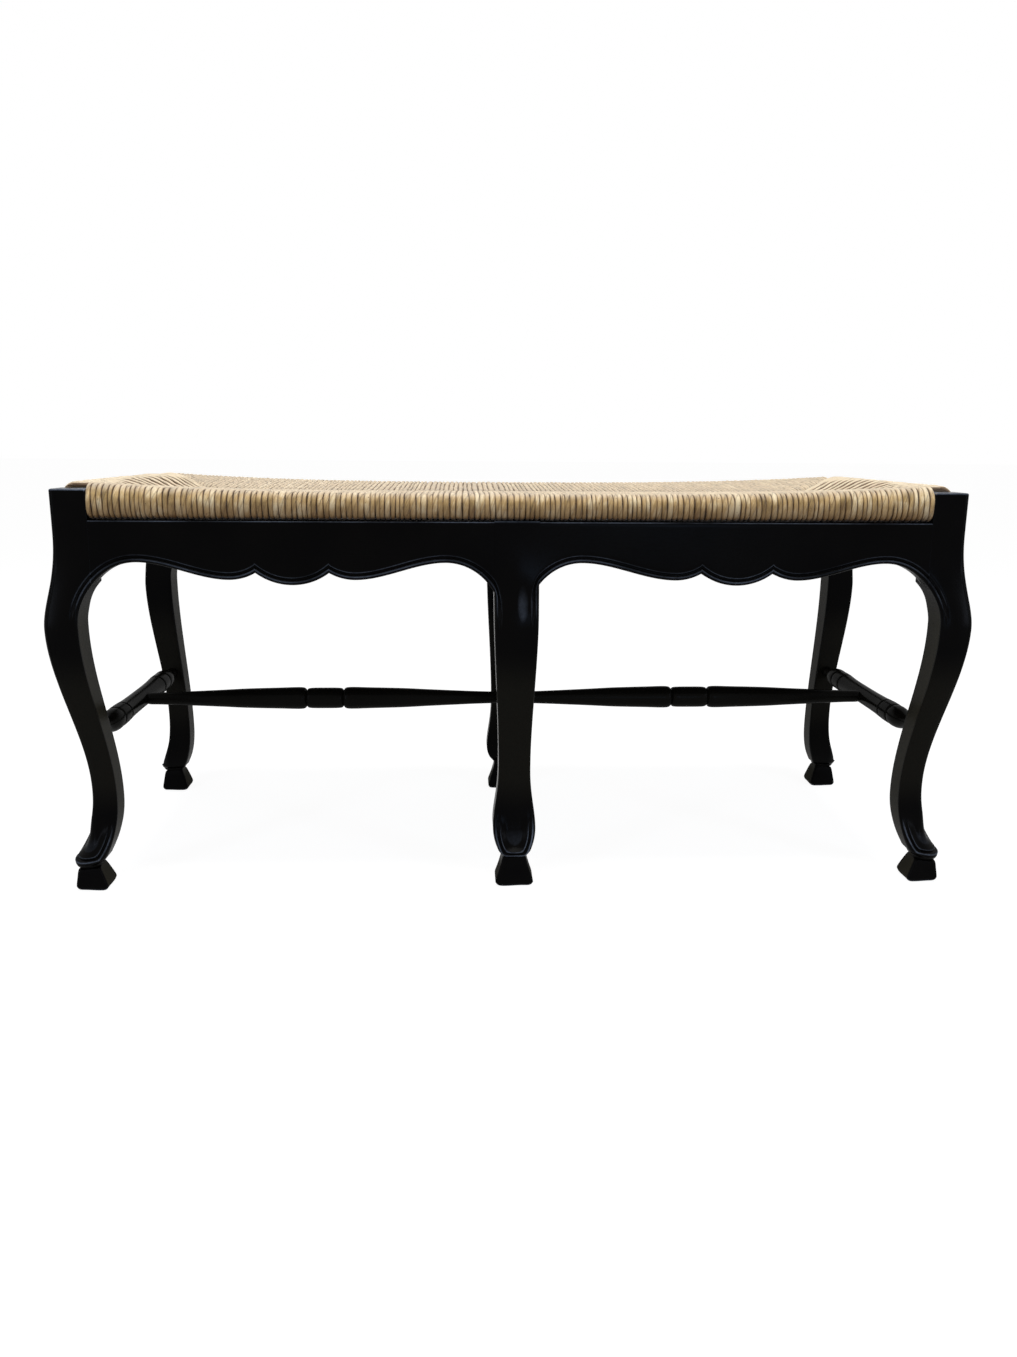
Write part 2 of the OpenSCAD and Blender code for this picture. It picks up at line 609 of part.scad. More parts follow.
quarter(false, false) corner_leg();  // leg_front_left
quarter(true, false) middle_leg();  // leg_front_middle
quarter(true, false) corner_leg();  // leg_front_right
quarter(false, true) corner_leg();  // leg_rear_left
quarter(true, true) middle_leg();  // leg_rear_middle
quarter(true, true) corner_leg();  // leg_rear_right
quarter(false, false) long_apron();  // apron_front_left
quarter(true, false) long_apron();  // apron_front_right
quarter(false, true) long_apron();  // apron_rear_left
quarter(true, true) long_apron();  // apron_rear_right
quarter(false, true) end_apron();  // apron_end_left
quarter(true, true) end_apron();  // apron_end_right
quarter(true, false) long_rail();  // seat_rail_front
quarter(true, true) long_rail();  // seat_rail_rear
quarter(false, true) end_rail();  // seat_rail_left
quarter(true, true) end_rail();  // seat_rail_right
seat_brace();  // seat_brace_middle
translate([-cross_x, 0, stretcher_height]) cross_stretcher([1]);  // cross_stretcher_left
translate([0, 0, stretcher_height]) cross_stretcher([-1, 1]);  // cross_stretcher_middle
translate([cross_x, 0, stretcher_height]) cross_stretcher([-1]);  // cross_stretcher_right
quarter(false, true) long_stretcher();  // long_stretcher_left
quarter(true, true) long_stretcher();  // long_stretcher_right
rush_seat();
rush_padding();
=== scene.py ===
import logging
import math
from dataclasses import dataclass, field
from enum import Enum
from typing import Any, Callable

import bpy
import numpy as np
from mathutils import Matrix, Vector


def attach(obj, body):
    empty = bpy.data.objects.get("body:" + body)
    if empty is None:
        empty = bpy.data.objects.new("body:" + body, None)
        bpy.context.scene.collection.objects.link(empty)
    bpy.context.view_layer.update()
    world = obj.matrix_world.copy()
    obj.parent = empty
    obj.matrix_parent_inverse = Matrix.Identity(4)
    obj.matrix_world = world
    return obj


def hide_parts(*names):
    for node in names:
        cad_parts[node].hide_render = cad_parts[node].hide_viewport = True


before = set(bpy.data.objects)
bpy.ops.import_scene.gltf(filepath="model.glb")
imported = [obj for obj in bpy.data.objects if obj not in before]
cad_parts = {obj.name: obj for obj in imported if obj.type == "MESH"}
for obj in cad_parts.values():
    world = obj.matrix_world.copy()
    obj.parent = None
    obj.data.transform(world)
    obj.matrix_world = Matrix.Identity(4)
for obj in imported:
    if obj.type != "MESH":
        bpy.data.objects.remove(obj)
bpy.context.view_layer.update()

Array = np.ndarray
MM = 0.001
log = logging.getLogger("bench")


def ease(t: Array | float) -> Array:
    """Smooth step from 0 to 1: three t squared minus two t cubed, with t held between 0 and 1."""
    c = np.clip(t, 0.0, 1.0)
    return c * c * (3.0 - 2.0 * c)


def mix(a: Array | float, b: Array | float, t: Array | float) -> Array:
    """Straight mix of a and b: a plus t times the difference."""
    return a + (b - a) * t


def bell(d: Array, centre: float, width: float) -> Array:
    """Bell of height 1: e to the minus square of the distance from the centre over the width."""
    return np.exp(-(((d - centre) / width) ** 2))


def rising(z: Array | float, start: float, run: float) -> Array:
    """Climb from 0 to 1 that begins at start and ends one run further, smooth at both ends."""
    return ease((z - start) / run)


def fading(z: Array | float, start: float, run: float) -> Array:
    """Fall from 1 to 0 that begins at start and ends one run further, smooth at both ends."""
    return 1 - ease((z - start) / run)


def linear_colour(code: str) -> tuple[float, float, float, float]:
    """Turns an sRGB hex colour into linear RGBA.

    Args:
        code: colour as "#rrggbb".

    Returns:
        Linear red, green, blue and an alpha of 1.
    """
    raw = [int(code[i : i + 2], 16) / 255.0 for i in (1, 3, 5)]
    lin = [c / 12.92 if c <= 0.04045 else ((c + 0.055) / 1.055) ** 2.4 for c in raw]
    return (lin[0], lin[1], lin[2], 1.0)


def smooth_through(table: Array, steps: int) -> Array:
    """Curve through the rows of a table, as a Catmull-Rom spline.

    Args:
        table: one row per control point.
        steps: points made for each stretch between two rows.

    Returns:
        Rows along the curve, the first and last rows included.
    """
    p = np.vstack([2 * table[0] - table[1], table, 2 * table[-1] - table[-2]])
    a, b, c, d = (p[i : len(table) - 1 + i, None, :] for i in range(4))
    t = (np.arange(steps) / steps)[None, :, None]
    rows = 0.5 * (
        2 * b + (c - a) * t + (2 * a - 5 * b + 4 * c - d) * t**2 + (3 * b - a - 3 * c + d) * t**3
    )
    return np.vstack([rows.reshape(-1, table.shape[1]), table[-1:]])


@dataclass
class Surface:
    """Points in millimetres, faces as point numbers, and named values at the points."""

    points: Array
    faces: list[Array]
    values: dict[str, Array] = field(default_factory=dict)

    def mirrored(self, in_x: bool, in_y: bool) -> "Surface":
        """Copy mirrored in x, in y or in both, its faces turned round after a single mirror.

        Args:
            in_x: whether x changes its sign.
            in_y: whether y changes its sign.

        Returns:
            The mirrored surface, with its faces outward.
        """
        points = self.points * np.array([-1.0 if in_x else 1.0, -1.0 if in_y else 1.0, 1.0])
        faces = [f[:, ::-1] for f in self.faces] if in_x != in_y else list(self.faces)
        return Surface(points, faces, dict(self.values))

    def quarter_turned(self) -> "Surface":
        """Copy turned a quarter round the upright axis: (x, y) becomes (y, minus x)."""
        x, y, z = self.points.T
        return Surface(np.stack([y, -x, z], axis=1), list(self.faces), dict(self.values))

    def moved(self, x: float, y: float, z: float) -> "Surface":
        """Copy moved by x, y and z."""
        return Surface(self.points + np.array([x, y, z]), list(self.faces), dict(self.values))

    @staticmethod
    def joined(surfaces: list["Surface"]) -> "Surface":
        """One surface that holds all the given ones.

        Args:
            surfaces: surfaces with the same named values.

        Returns:
            The joined surface.
        """
        starts = np.cumsum([0] + [len(s.points) for s in surfaces[:-1]])
        faces = [f + start for s, start in zip(surfaces, starts) for f in s.faces]
        values = {k: np.concatenate([s.values[k] for s in surfaces]) for k in surfaces[0].values}
        return Surface(np.concatenate([s.points for s in surfaces]), faces, values)

    def build(self, name: str, material: bpy.types.Material, crease_deg: float = 42.0) -> bpy.types.Object:
        """Makes the Blender object, smooth shaded, with creases kept sharp.

        Args:
            name: name of the piece.
            material: its material.
            crease_deg: edges that bend more than this stay sharp.

        Returns:
            The new object, at the origin, in metres.
        """
        mesh = bpy.data.meshes.new(name)
        mesh.vertices.add(len(self.points))
        mesh.vertices.foreach_set("co", (self.points * MM).astype(np.float32).ravel())
        corners = np.concatenate([f.ravel() for f in self.faces]).astype(np.int32)
        sizes = np.concatenate([np.full(len(f), f.shape[1]) for f in self.faces])
        mesh.loops.add(len(corners))
        mesh.loops.foreach_set("vertex_index", corners)
        mesh.polygons.add(len(sizes))
        mesh.polygons.foreach_set("loop_start", (np.cumsum(sizes) - sizes).astype(np.int32))
        mesh.update(calc_edges=True)
        mesh.validate()
        mesh.shade_smooth()
        mesh.set_sharp_from_angle(angle=math.radians(crease_deg))
        for label, value in self.values.items():
            kind, key = ("FLOAT_VECTOR", "vector") if value.ndim == 2 else ("FLOAT", "value")
            mesh.attributes.new(label, kind, "POINT").data.foreach_set(
                key, value.astype(np.float32).ravel()
            )
        mesh.materials.append(material)
        piece = bpy.data.objects.new(name, mesh)
        bpy.context.scene.collection.objects.link(piece)
        return piece


def closed_loft(rings: Array, values: dict[str, Array] | None = None) -> Surface:
    """Closed skin over a stack of rings, with a fan of triangles over each end.

    Args:
        rings: array of ring, point, coordinate. Each ring runs counterclockwise as seen from
            the end toward which the rings are stacked.
        values: arrays of ring and point, or ring, point and coordinate, kept at the points.

    Returns:
        The closed surface.
    """
    count, around = rings.shape[:2]
    start = (np.arange(count - 1) * around)[:, None]
    k = np.arange(around)
    a, b = start + k, start + np.roll(k, -1)
    quads = np.stack([a, b, b + around, a + around], axis=-1).reshape(-1, 4)
    low, high, top = count * around, count * around + 1, (count - 1) * around
    fans = np.concatenate(
        [
            np.stack([np.full(around, low), np.roll(k, -1), k], axis=1),
            np.stack([np.full(around, high), top + k, top + np.roll(k, -1)], axis=1),
        ]
    )
    ends = np.stack([rings[0].mean(axis=0), rings[-1].mean(axis=0)])
    kept = {
        label: np.concatenate(
            [v.reshape(count * around, *v.shape[2:]), v[:1].mean(axis=1), v[-1:].mean(axis=1)]
        )
        for label, v in (values or {}).items()
    }
    return Surface(np.concatenate([rings.reshape(-1, 3), ends]), [quads, fans], kept)


@dataclass(frozen=True)
class BenchSizes:
    """Sizes of the bench's frame, in millimetres: those of the solids, but for finer arches."""

    frame_length: float = 1050.0
    frame_depth: float = 400.0
    post_height: float = 480.0
    post_side: float = 41.0
    middle_leg_width: float = 52.0
    apron_drop: float = 34.0
    knee_drop: float = 124.0
    shoulder_drop: float = 7.0
    crown_drop: float = 48.0
    arch_radius: float = 66.0
    arch_rise: float = 72.0
    crown_run: float = 50.0
    middle_runs: tuple[float, float] = (56.0, 50.0)
    bay_shift: float = 3.0
    stretcher_height: float = 190.0

    @property
    def half_length(self) -> float:
        """Distance from the middle to the outer face of an end post."""
        return self.frame_length / 2

    @property
    def half_depth(self) -> float:
        """Distance from the middle to the outer face of a front or rear post."""
        return self.frame_depth / 2

    @property
    def post_in_x(self) -> float:
        """Inner face of the end posts, along the bench."""
        return self.half_length - self.post_side

    @property
    def post_in_y(self) -> float:
        """Inner face of the posts, across the bench."""
        return self.half_depth - self.post_side

    @property
    def apron_top(self) -> float:
        """Height of the top edge of the aprons."""
        return self.post_height - self.apron_drop

    @property
    def crown_height(self) -> float:
        """Height of the crown of the arches."""
        return self.apron_top - self.crown_drop

    @property
    def arch_base(self) -> float:
        """Height of the centre of the arches."""
        return self.crown_height - self.arch_rise

    @property
    def arch_join(self) -> float:
        """Height where an arch passes from the apron into the leg."""
        return self.arch_base + self.arch_rise * math.sqrt(1 - (self.crown_run / self.arch_radius) ** 2)

    def arch_line(self, run: Array, d: Array | float) -> Array:
        """Height of the ellipse that lies a distance d outside the arch, at a way past its crown."""
        share = np.clip(1 - (run / (self.arch_radius + d)) ** 2, 0, None)
        return self.arch_base + (self.arch_rise + d) * np.sqrt(share)

    def arch_way(self, run: Array, z: Array) -> Array:
        """Distance outside the arch: the d whose ellipse passes through the point, by repeated steps.

        Args:
            run: way past the crown of the arch.
            z: height.

        Returns:
            Distance, negative inside the arch.
        """
        up = z - self.arch_base
        reach = np.hypot(run, up)
        d = np.zeros_like(reach)
        for _ in range(6):
            grown = np.maximum(self.arch_radius + d, 10.0), np.maximum(self.arch_rise + d, 10.0)
            d = d + (np.hypot(run / grown[0], up / grown[1]) - 1) * reach
        return d


@dataclass(frozen=True)
class LegCurve:
    """The S curve of a cabriole leg, as distances beyond the faces of its post."""

    sizes: BenchSizes
    knee_reach: float = 13.0
    knee_fullness: float = 1.4
    ankle_height: float = 121.0
    ankle_inset: float = 14.6
    ankle_overhang: float = 3.3
    ankle_back_drop: float = 13.0
    toe_height: float = 36.0
    toe_reach: float = 8.0
    toe_heel: float = 13.0
    toe_sweep: float = 2.3
    toe_half_width: float = 26.2
    toe_oval: float = 38.0
    waist_half_width: float = 19.5
    waist_height: float = 150.0
    tilt: float = 0.3
    tilt_run: float = 18.0

    def rise(self, d: Array | float) -> Array:
        """Climb of a tilted section at a way d from its outer corner: it levels off after tilt_run."""
        return self.tilt_run * (1 - np.exp(-np.maximum(d, 0) / self.tilt_run))

    def outer(self, z: Array) -> Array:
        """How far the outer face lies beyond the post at height z.

        Eased out to the knee, eased back to the ankle, then swept out to the toe by a power.
        """
        s = self.sizes
        shoulder, knee = s.apron_top - s.shoulder_drop, s.apron_top - s.knee_drop
        ankle, toe = self.ankle_height, self.toe_height
        climb = np.clip((shoulder - z) / (shoulder - knee), 0, 1) ** self.knee_fullness
        swell = self.knee_reach * ease(climb)
        fall = mix(self.knee_reach, -self.ankle_inset, ease((knee - z) / (knee - ankle)))
        sweep = np.clip((ankle - np.maximum(z, toe)) / (ankle - toe), 0, 1) ** self.toe_sweep
        flare = mix(-self.ankle_inset, self.toe_reach, sweep)
        return np.where(z >= knee, swell, np.where(z >= ankle, fall, flare))

    def inner(self, z: Array) -> Array:
        """How far the inner face lies outside the inner face of the post at height z.

        A stretch of the arch, an eased S down to the back of the ankle, then a swept heel.
        """
        s = self.sizes
        back, toe = self.ankle_height - self.ankle_back_drop, self.toe_height
        flat = s.arch_base - 6.0
        bow = np.sqrt(np.clip(1 - ((z - s.arch_base) / s.arch_rise) ** 2, 0, None))
        arch = s.arch_radius * bow - s.crown_run
        fall = mix(s.arch_radius - s.crown_run, -self.ankle_overhang, ease((flat - z) / (flat - back)))
        sweep = np.clip((back - np.maximum(z, toe)) / (back - toe), 0, 1) ** self.toe_sweep
        heel = mix(-self.ankle_overhang, self.toe_heel, sweep)
        low = np.where(z >= back, fall, heel)
        return np.where(z >= s.arch_join, 0.0, np.where(z >= s.arch_base, arch, low))

    def half_width(self, z: Array) -> Array:
        """Half the width of a middle leg at z: eased to the waist, then a toe that ends as an ellipse."""
        s = self.sizes
        wide, top = self.toe_height + 35.0, s.apron_top - s.knee_drop + 33.0
        narrowed = ease((top - z) / (top - self.waist_height))
        waist = mix(s.middle_leg_width / 2, self.waist_half_width, narrowed)
        spread = np.clip((self.waist_height - z) / (self.waist_height - wide), 0, 1) ** 1.3
        toe = mix(self.waist_half_width, self.toe_half_width, ease(spread))
        oval = self.toe_half_width * np.sqrt(np.clip(1 - ((wide - z) / self.toe_oval) ** 2, 0.02, 1))
        return np.where(z >= self.waist_height, waist, np.where(z >= wide, toe, oval))

    def slope(self, z: Array) -> Array:
        """Tilt of a section near the toe, eased away above the ankle."""
        return self.tilt * (1 - ease((z - self.toe_height) / (self.ankle_height - 12 - self.toe_height)))


@dataclass(frozen=True)
class Moulding:
    """Bead, quirk and fillet that run along the lower edge of the aprons and onto the legs."""

    sizes: BenchSizes
    width: float = 10.6
    blend_out: float = 45.0
    blend_in: float = 28.0

    def relief(self, d: Array) -> Array:
        """Depth of the moulding at a distance d from the edge, in words: a half-round bead that
        falls away to the edge and into a quirk, a flat floor, and a rounded step up to the face."""
        knots = np.array([0, 0.6, 1.3, 2.2, 3.4, 4.6, 5.3, 5.9, 6.6, 7.2, 7.9, 8.7, 9.6, 10.6])
        depth = np.array([-3.0, -1.9, -1.0, -0.35, 0, -0.4, -1.1, -2.0, -2.1, -1.9, -1.3, -0.55, -0.1, 0])
        return np.interp(d, knots, depth)

    def blend(self, run: Array) -> Array:
        """Share of the knee's swell that the face has at a run into the leg, eased across the joint."""
        return ease((run + self.blend_out) / (self.blend_out + self.blend_in))

    def shine(self, d: Array) -> Array:
        """Painted highlight along the moulding: one bell on the bead and one on the step."""
        return 0.42 * bell(d, 3.4, 1.2) + 0.36 * bell(d, 8.6, 1.0)


class Grain(Enum):
    """Direction in which a piece was planed and brushed."""

    ALONG_X = (0.06, 1.0, 1.0)
    ALONG_Y = (1.0, 0.06, 1.0)
    ALONG_Z = (1.0, 1.0, 0.06)


def add_node(
    tree: bpy.types.NodeTree,
    kind: str,
    settings: dict[str | int, Any] | None = None,
    links: dict[str | int, bpy.types.NodeSocket] | None = None,
) -> bpy.types.Node:
    """Adds a node with its settings and links.

    Args:
        tree: tree that gets the node.
        kind: Blender's name of the node type.
        settings: property name, or input name or number, to its value.
        links: input name or number to the output that feeds it.

    Returns:
        The new node.
    """
    node = tree.nodes.new(kind)
    for name, value in (settings or {}).items():
        if isinstance(name, int) or name in node.inputs:
            node.inputs[name].default_value = value
        else:
            setattr(node, name, value)
    for name, source in (links or {}).items():
        tree.links.new(source, node.inputs[name])
    return node


def new_material(name: str) -> tuple[bpy.types.Material, bpy.types.NodeTree]:
    """An empty node material and its tree."""
    material = bpy.data.materials.new(name)
    material.use_nodes = True
    material.node_tree.nodes.clear()
    return material, material.node_tree


@dataclass(frozen=True)
class EbonisedLacquer:
    """Black lacquer brushed over beech and cut back: a satin black with faint brush lines, an olive-brown
    tone on the shank and the stretchers, a painted olive reflection on the inner side faces, a painted
    blue-grey highlight along the moulding, the carved toes, the knees, the top edges and the arrises, and a
    little brown wood where the lacquer is chipped through."""

    grain: Grain
    black: str = "#020203"
    rubbed_patch_and_lit_top: str = "#070605"
    # Blue-grey of the painted highlight, also used on the scuffed edges of the feet.
    sheen: str = "#6a7280"
    # Olive-brown of the painted reflection on the inner side faces, also the tone of the shank.
    thinned_and_reflected: str = "#24221b"
    bared_wood: str = "#7b705e"
    brush_line_mm: float = 1.1
    patch_mm: float = 70.0
    chip_mm: float = 5.0
    gloss: float = 0.17
    reflection: float = 0.022

    def material(self) -> bpy.types.Material:
        """Builds the material.

        Returns:
            A material whose brush lines follow the grain.
        """
        material, tree = new_material(f"ebonised_lacquer_{self.grain.name.lower()}")
        place = add_node(tree, "ShaderNodeTexCoord").outputs["Object"]
        along = add_node(
            tree, "ShaderNodeMapping", {"Scale": self.grain.value}, {"Vector": place}
        ).outputs[0]
        lines = add_node(
            tree,
            "ShaderNodeTexNoise",
            {"Scale": 1000.0 / self.brush_line_mm, "Detail": 3.0},
            {"Vector": along},
        ).outputs["Fac"]
        patches = add_node(
            tree, "ShaderNodeTexNoise", {"Scale": 1000.0 / self.patch_mm, "Detail": 4.0}, {"Vector": place}
        ).outputs["Fac"]
        chips = add_node(
            tree,
            "ShaderNodeTexNoise",
            {"Scale": 1000.0 / self.chip_mm, "Detail": 6.0, "Roughness": 0.7},
            {"Vector": place},
        ).outputs["Fac"]
        worn_and_lit = add_node(tree, "ShaderNodeAttribute", {"attribute_name": "wear_and_highlight"}).outputs["Fac"]
        thin_and_reflection = add_node(tree, "ShaderNodeAttribute", {"attribute_name": "thin_and_reflection"}).outputs["Fac"]
        broken = add_node(tree, "ShaderNodeMath", {"operation": "MULTIPLY"}, {0: worn_and_lit, 1: chips}).outputs[0]
        bare = add_node(
            tree,
            "ShaderNodeMapRange",
            {"From Min": 0.38, "From Max": 0.46, "To Min": 0.0, "To Max": 0.6},
            {0: broken},
        ).outputs[0]
        body = add_node(
            tree,
            "ShaderNodeMix",
            {"data_type": "RGBA", 6: linear_colour(self.black), 7: linear_colour(self.rubbed_patch_and_lit_top)},
            {0: patches},
        ).outputs[2]
        # Painted reflection: the olive-brown mixed in here stands for warm surroundings seen in the inner
        # side faces; on the shank and the stretchers it is a plain olive-brown tone.
        body = add_node(
            tree, "ShaderNodeMix", {"data_type": "RGBA", 7: linear_colour(self.thinned_and_reflected)}, {0: thin_and_reflection, 6: body}
        ).outputs[2]
        share = add_node(
            tree,
            "ShaderNodeMapRange",
            {"From Min": 0.2, "From Max": 1.0, "To Min": 0.0, "To Max": 1.3},
            {0: worn_and_lit},
        ).outputs[0]
        patchy_highlight = add_node(
            tree,
            "ShaderNodeMapRange",
            {"From Min": 0.35, "From Max": 0.65, "To Min": 0.3, "To Max": 2.2},
            {0: patches},
        ).outputs[0]
        speckled = add_node(
            tree, "ShaderNodeMath", {"operation": "MULTIPLY"}, {0: share, 1: chips}
        ).outputs[0]
        uneven = add_node(
            tree, "ShaderNodeMath", {"operation": "MULTIPLY", "use_clamp": True}, {0: speckled, 1: patchy_highlight}
        ).outputs[0]
        # Painted highlight on the moulding, carved toes, knees, top edges and arrises; the same grey also
        # marks the scuffed lowest edges of the feet.
        highlighted = add_node(
            tree, "ShaderNodeMix", {"data_type": "RGBA", 7: linear_colour(self.sheen)}, {0: uneven, 6: body}
        ).outputs[2]
        colour = add_node(
            tree,
            "ShaderNodeMix",
            {"data_type": "RGBA", 7: linear_colour(self.bared_wood)},
            {0: bare, 6: highlighted},
        ).outputs[2]
        drift = add_node(
            tree,
            "ShaderNodeMapRange",
            {"From Min": 0.3, "From Max": 0.7, "To Min": self.gloss - 0.03, "To Max": self.gloss + 0.07},
            {0: patches},
        ).outputs[0]
        satin = add_node(
            tree, "ShaderNodeMath", {"operation": "MULTIPLY_ADD", 1: 0.10}, {0: lines, 2: drift}
        ).outputs[0]
        height = add_node(tree, "ShaderNodeSeparateXYZ", None, {0: place}).outputs[2]
        scuffed = add_node(
            tree,
            "ShaderNodeMapRange",
            {"From Min": 0.022, "From Max": 0.034, "To Min": 0.36, "To Max": 0.0},
            {0: height},
        ).outputs[0]
        rough = add_node(tree, "ShaderNodeMath", {"operation": "ADD"}, {0: satin, 1: scuffed}).outputs[0]
        turned = add_node(tree, "ShaderNodeLayerWeight", {"Blend": 0.5}).outputs["Facing"]
        gleam = add_node(
            tree,
            "ShaderNodeMapRange",
            {"From Min": 0.3, "From Max": 0.8, "To Min": self.reflection, "To Max": 0.004},
            {0: turned},
        ).outputs[0]
        hollow = add_node(
            tree, "ShaderNodeBump", {"Strength": 0.35, "Distance": 0.0001}, {"Height": lines}
        ).outputs[0]
        wavy = add_node(
            tree,
            "ShaderNodeBump",
            {"Strength": 0.5, "Distance": 0.0006},
            {"Height": patches, "Normal": hollow},
        ).outputs[0]
        shader = add_node(
            tree,
            "ShaderNodeBsdfPrincipled",
            None,
            {"Base Color": colour, "Roughness": rough, "Normal": wavy, "Specular IOR Level": gleam},
        )
        add_node(tree, "ShaderNodeOutputMaterial", None, {"Surface": shader.outputs[0]})
        return material


@dataclass(frozen=True)
class BareBeech:
    """Planed beech left bare under the seat: pale brown, with short darker flecks along the grain."""

    grain: Grain
    pale: str = "#b9986b"
    dark: str = "#8d6c45"
    fleck_mm: float = 2.4

    def material(self) -> bpy.types.Material:
        """Builds the material.

        Returns:
            A matte wood material with flecks along the grain.
        """
        material, tree = new_material(f"bare_beech_{self.grain.name.lower()}")
        place = add_node(tree, "ShaderNodeTexCoord").outputs["Object"]
        along = add_node(
            tree, "ShaderNodeMapping", {"Scale": self.grain.value}, {"Vector": place}
        ).outputs[0]
        flecks = add_node(
            tree,
            "ShaderNodeTexNoise",
            {"Scale": 1000.0 / self.fleck_mm, "Detail": 5.0, "Roughness": 0.65},
            {"Vector": along},
        ).outputs["Fac"]
        colour = add_node(
            tree,
            "ShaderNodeMix",
            {"data_type": "RGBA", 6: linear_colour(self.pale), 7: linear_colour(self.dark)},
            {0: flecks},
        ).outputs[2]
        relief = add_node(
            tree, "ShaderNodeBump", {"Strength": 0.4, "Distance": 0.0002}, {"Height": flecks}
        ).outputs[0]
        shader = add_node(
            tree,
            "ShaderNodeBsdfPrincipled",
            {"Roughness": 0.62, "Specular IOR Level": 0.35},
            {"Base Color": colour, "Normal": relief},
        )
        add_node(tree, "ShaderNodeOutputMaterial", None, {"Surface": shader.outputs[0]})
        return material


@dataclass(frozen=True)
class TwistedRush:
    """Rush leaves twisted into strands by hand: straw, olive and brown leaves with a dry sheen, fine fibres
    that spiral with the twist, painted shade in the creases between leaves, along the sides of each strand
    and where strands dip into the seams, darker toward the lower edge of the roll, and a few dark specks.
    The top of the seat is painted lighter than its front, as painted light on the lit top."""

    deep: str = "#624a22"
    olive: str = "#957a48"
    straw: str = "#bd9d68"
    cream: str = "#e3cfa6"
    # Pale colour of the painted light on the top of the seat.
    lit_top_pale: str = "#d8cab6"
    # Brown of the painted shade in creases and between strands, of the darkening toward the roll's lower
    # edge, and of the real dark specks.
    shade_and_speck_brown: str = "#553610"
    fibre_mm: float = 0.9
    fibre_stretch: float = 0.045
    strand_radius_mm: float = 3.2
    leaf_mm: float = 20.0
    speck_mm: float = 3.2

    def material(self) -> bpy.types.Material:
        """Builds the material.

        Returns:
            A material that reads the attributes lay and tone, and the shares of the painted light top and
            of the painted shade along the sides of the strands.
        """
        material, tree = new_material("twisted_rush")
        lay = add_node(tree, "ShaderNodeAttribute", {"attribute_name": "lay"}).outputs["Vector"]
        tone = add_node(tree, "ShaderNodeAttribute", {"attribute_name": "tone"}).outputs["Fac"]
        rubbed_patch_and_lit_top = add_node(tree, "ShaderNodeAttribute", {"attribute_name": "rubbed_patch_and_lit_top"}).outputs["Fac"]
        place = add_node(tree, "ShaderNodeTexCoord").outputs["Object"]
        fine_scale = self.strand_radius_mm / self.fibre_mm
        fibres = add_node(
            tree,
            "ShaderNodeMapping",
            {"Scale": (fine_scale, fine_scale, self.fibre_stretch)},
            {"Vector": lay},
        ).outputs[0]
        streak = add_node(
            tree, "ShaderNodeTexNoise", {"Scale": 1.0, "Detail": 4.0, "Roughness": 0.6}, {"Vector": fibres}
        ).outputs["Fac"]
        leaf = add_node(
            tree, "ShaderNodeTexNoise", {"Scale": 1000.0 / self.leaf_mm, "Detail": 4.0}, {"Vector": place}
        ).outputs["Fac"]
        mottle = add_node(
            tree,
            "ShaderNodeMapRange",
            {"From Min": 0.3, "From Max": 0.7, "To Min": -0.34, "To Max": 0.34},
            {0: leaf},
        ).outputs[0]
        fine = add_node(
            tree,
            "ShaderNodeMapRange",
            {"From Min": 0.3, "From Max": 0.7, "To Min": -0.2, "To Max": 0.2},
            {0: streak},
        ).outputs[0]
        first = add_node(tree, "ShaderNodeMath", {"operation": "ADD"}, {0: tone, 1: mottle}).outputs[0]
        level = add_node(tree, "ShaderNodeMath", {"operation": "ADD"}, {0: first, 1: fine}).outputs[0]
        ramp = add_node(tree, "ShaderNodeValToRGB", None, {0: level})
        stops = [(0.0, self.deep), (0.3, self.olive), (0.62, self.straw), (1.0, self.cream)]
        while len(ramp.color_ramp.elements) < len(stops):
            ramp.color_ramp.elements.new(0.5)
        for element, (at, code) in zip(ramp.color_ramp.elements, stops):
            element.position, element.color = at, linear_colour(code)
        # Painted light: the top of the seat is mixed toward a pale, greyer cream, as the lit top looks.
        lit_top_mix = add_node(tree, "ShaderNodeMath", {"operation": "MULTIPLY", 1: 0.62}, {0: rubbed_patch_and_lit_top}).outputs[0]
        worn_and_lit = add_node(
            tree,
            "ShaderNodeMix",
            {"data_type": "RGBA", 7: linear_colour(self.lit_top_pale)},
            {0: lit_top_mix, 6: ramp.outputs[0]},
        ).outputs[2]
        # Painted shade in the twist creases of each strand.
        split = add_node(tree, "ShaderNodeSeparateXYZ", None, {0: lay})
        meet = add_node(tree, "ShaderNodeMath", {"operation": "ABSOLUTE"}, {0: split.outputs[0]}).outputs[0]
        groove = add_node(
            tree,
            "ShaderNodeMapRange",
            {
                "interpolation_type": "SMOOTHSTEP",
                "From Min": 0.0,
                "From Max": 0.26,
                "To Min": 1.0,
                "To Max": 0.0,
            },
            {0: meet},
        ).outputs[0]
        patchy = add_node(
            tree, "ShaderNodeMath", {"operation": "MULTIPLY"}, {0: groove, 1: leaf}
        ).outputs[0]
        shade = add_node(
            tree, "ShaderNodeMath", {"operation": "MULTIPLY", 1: 0.38, "use_clamp": True}, {0: patchy}
        ).outputs[0]
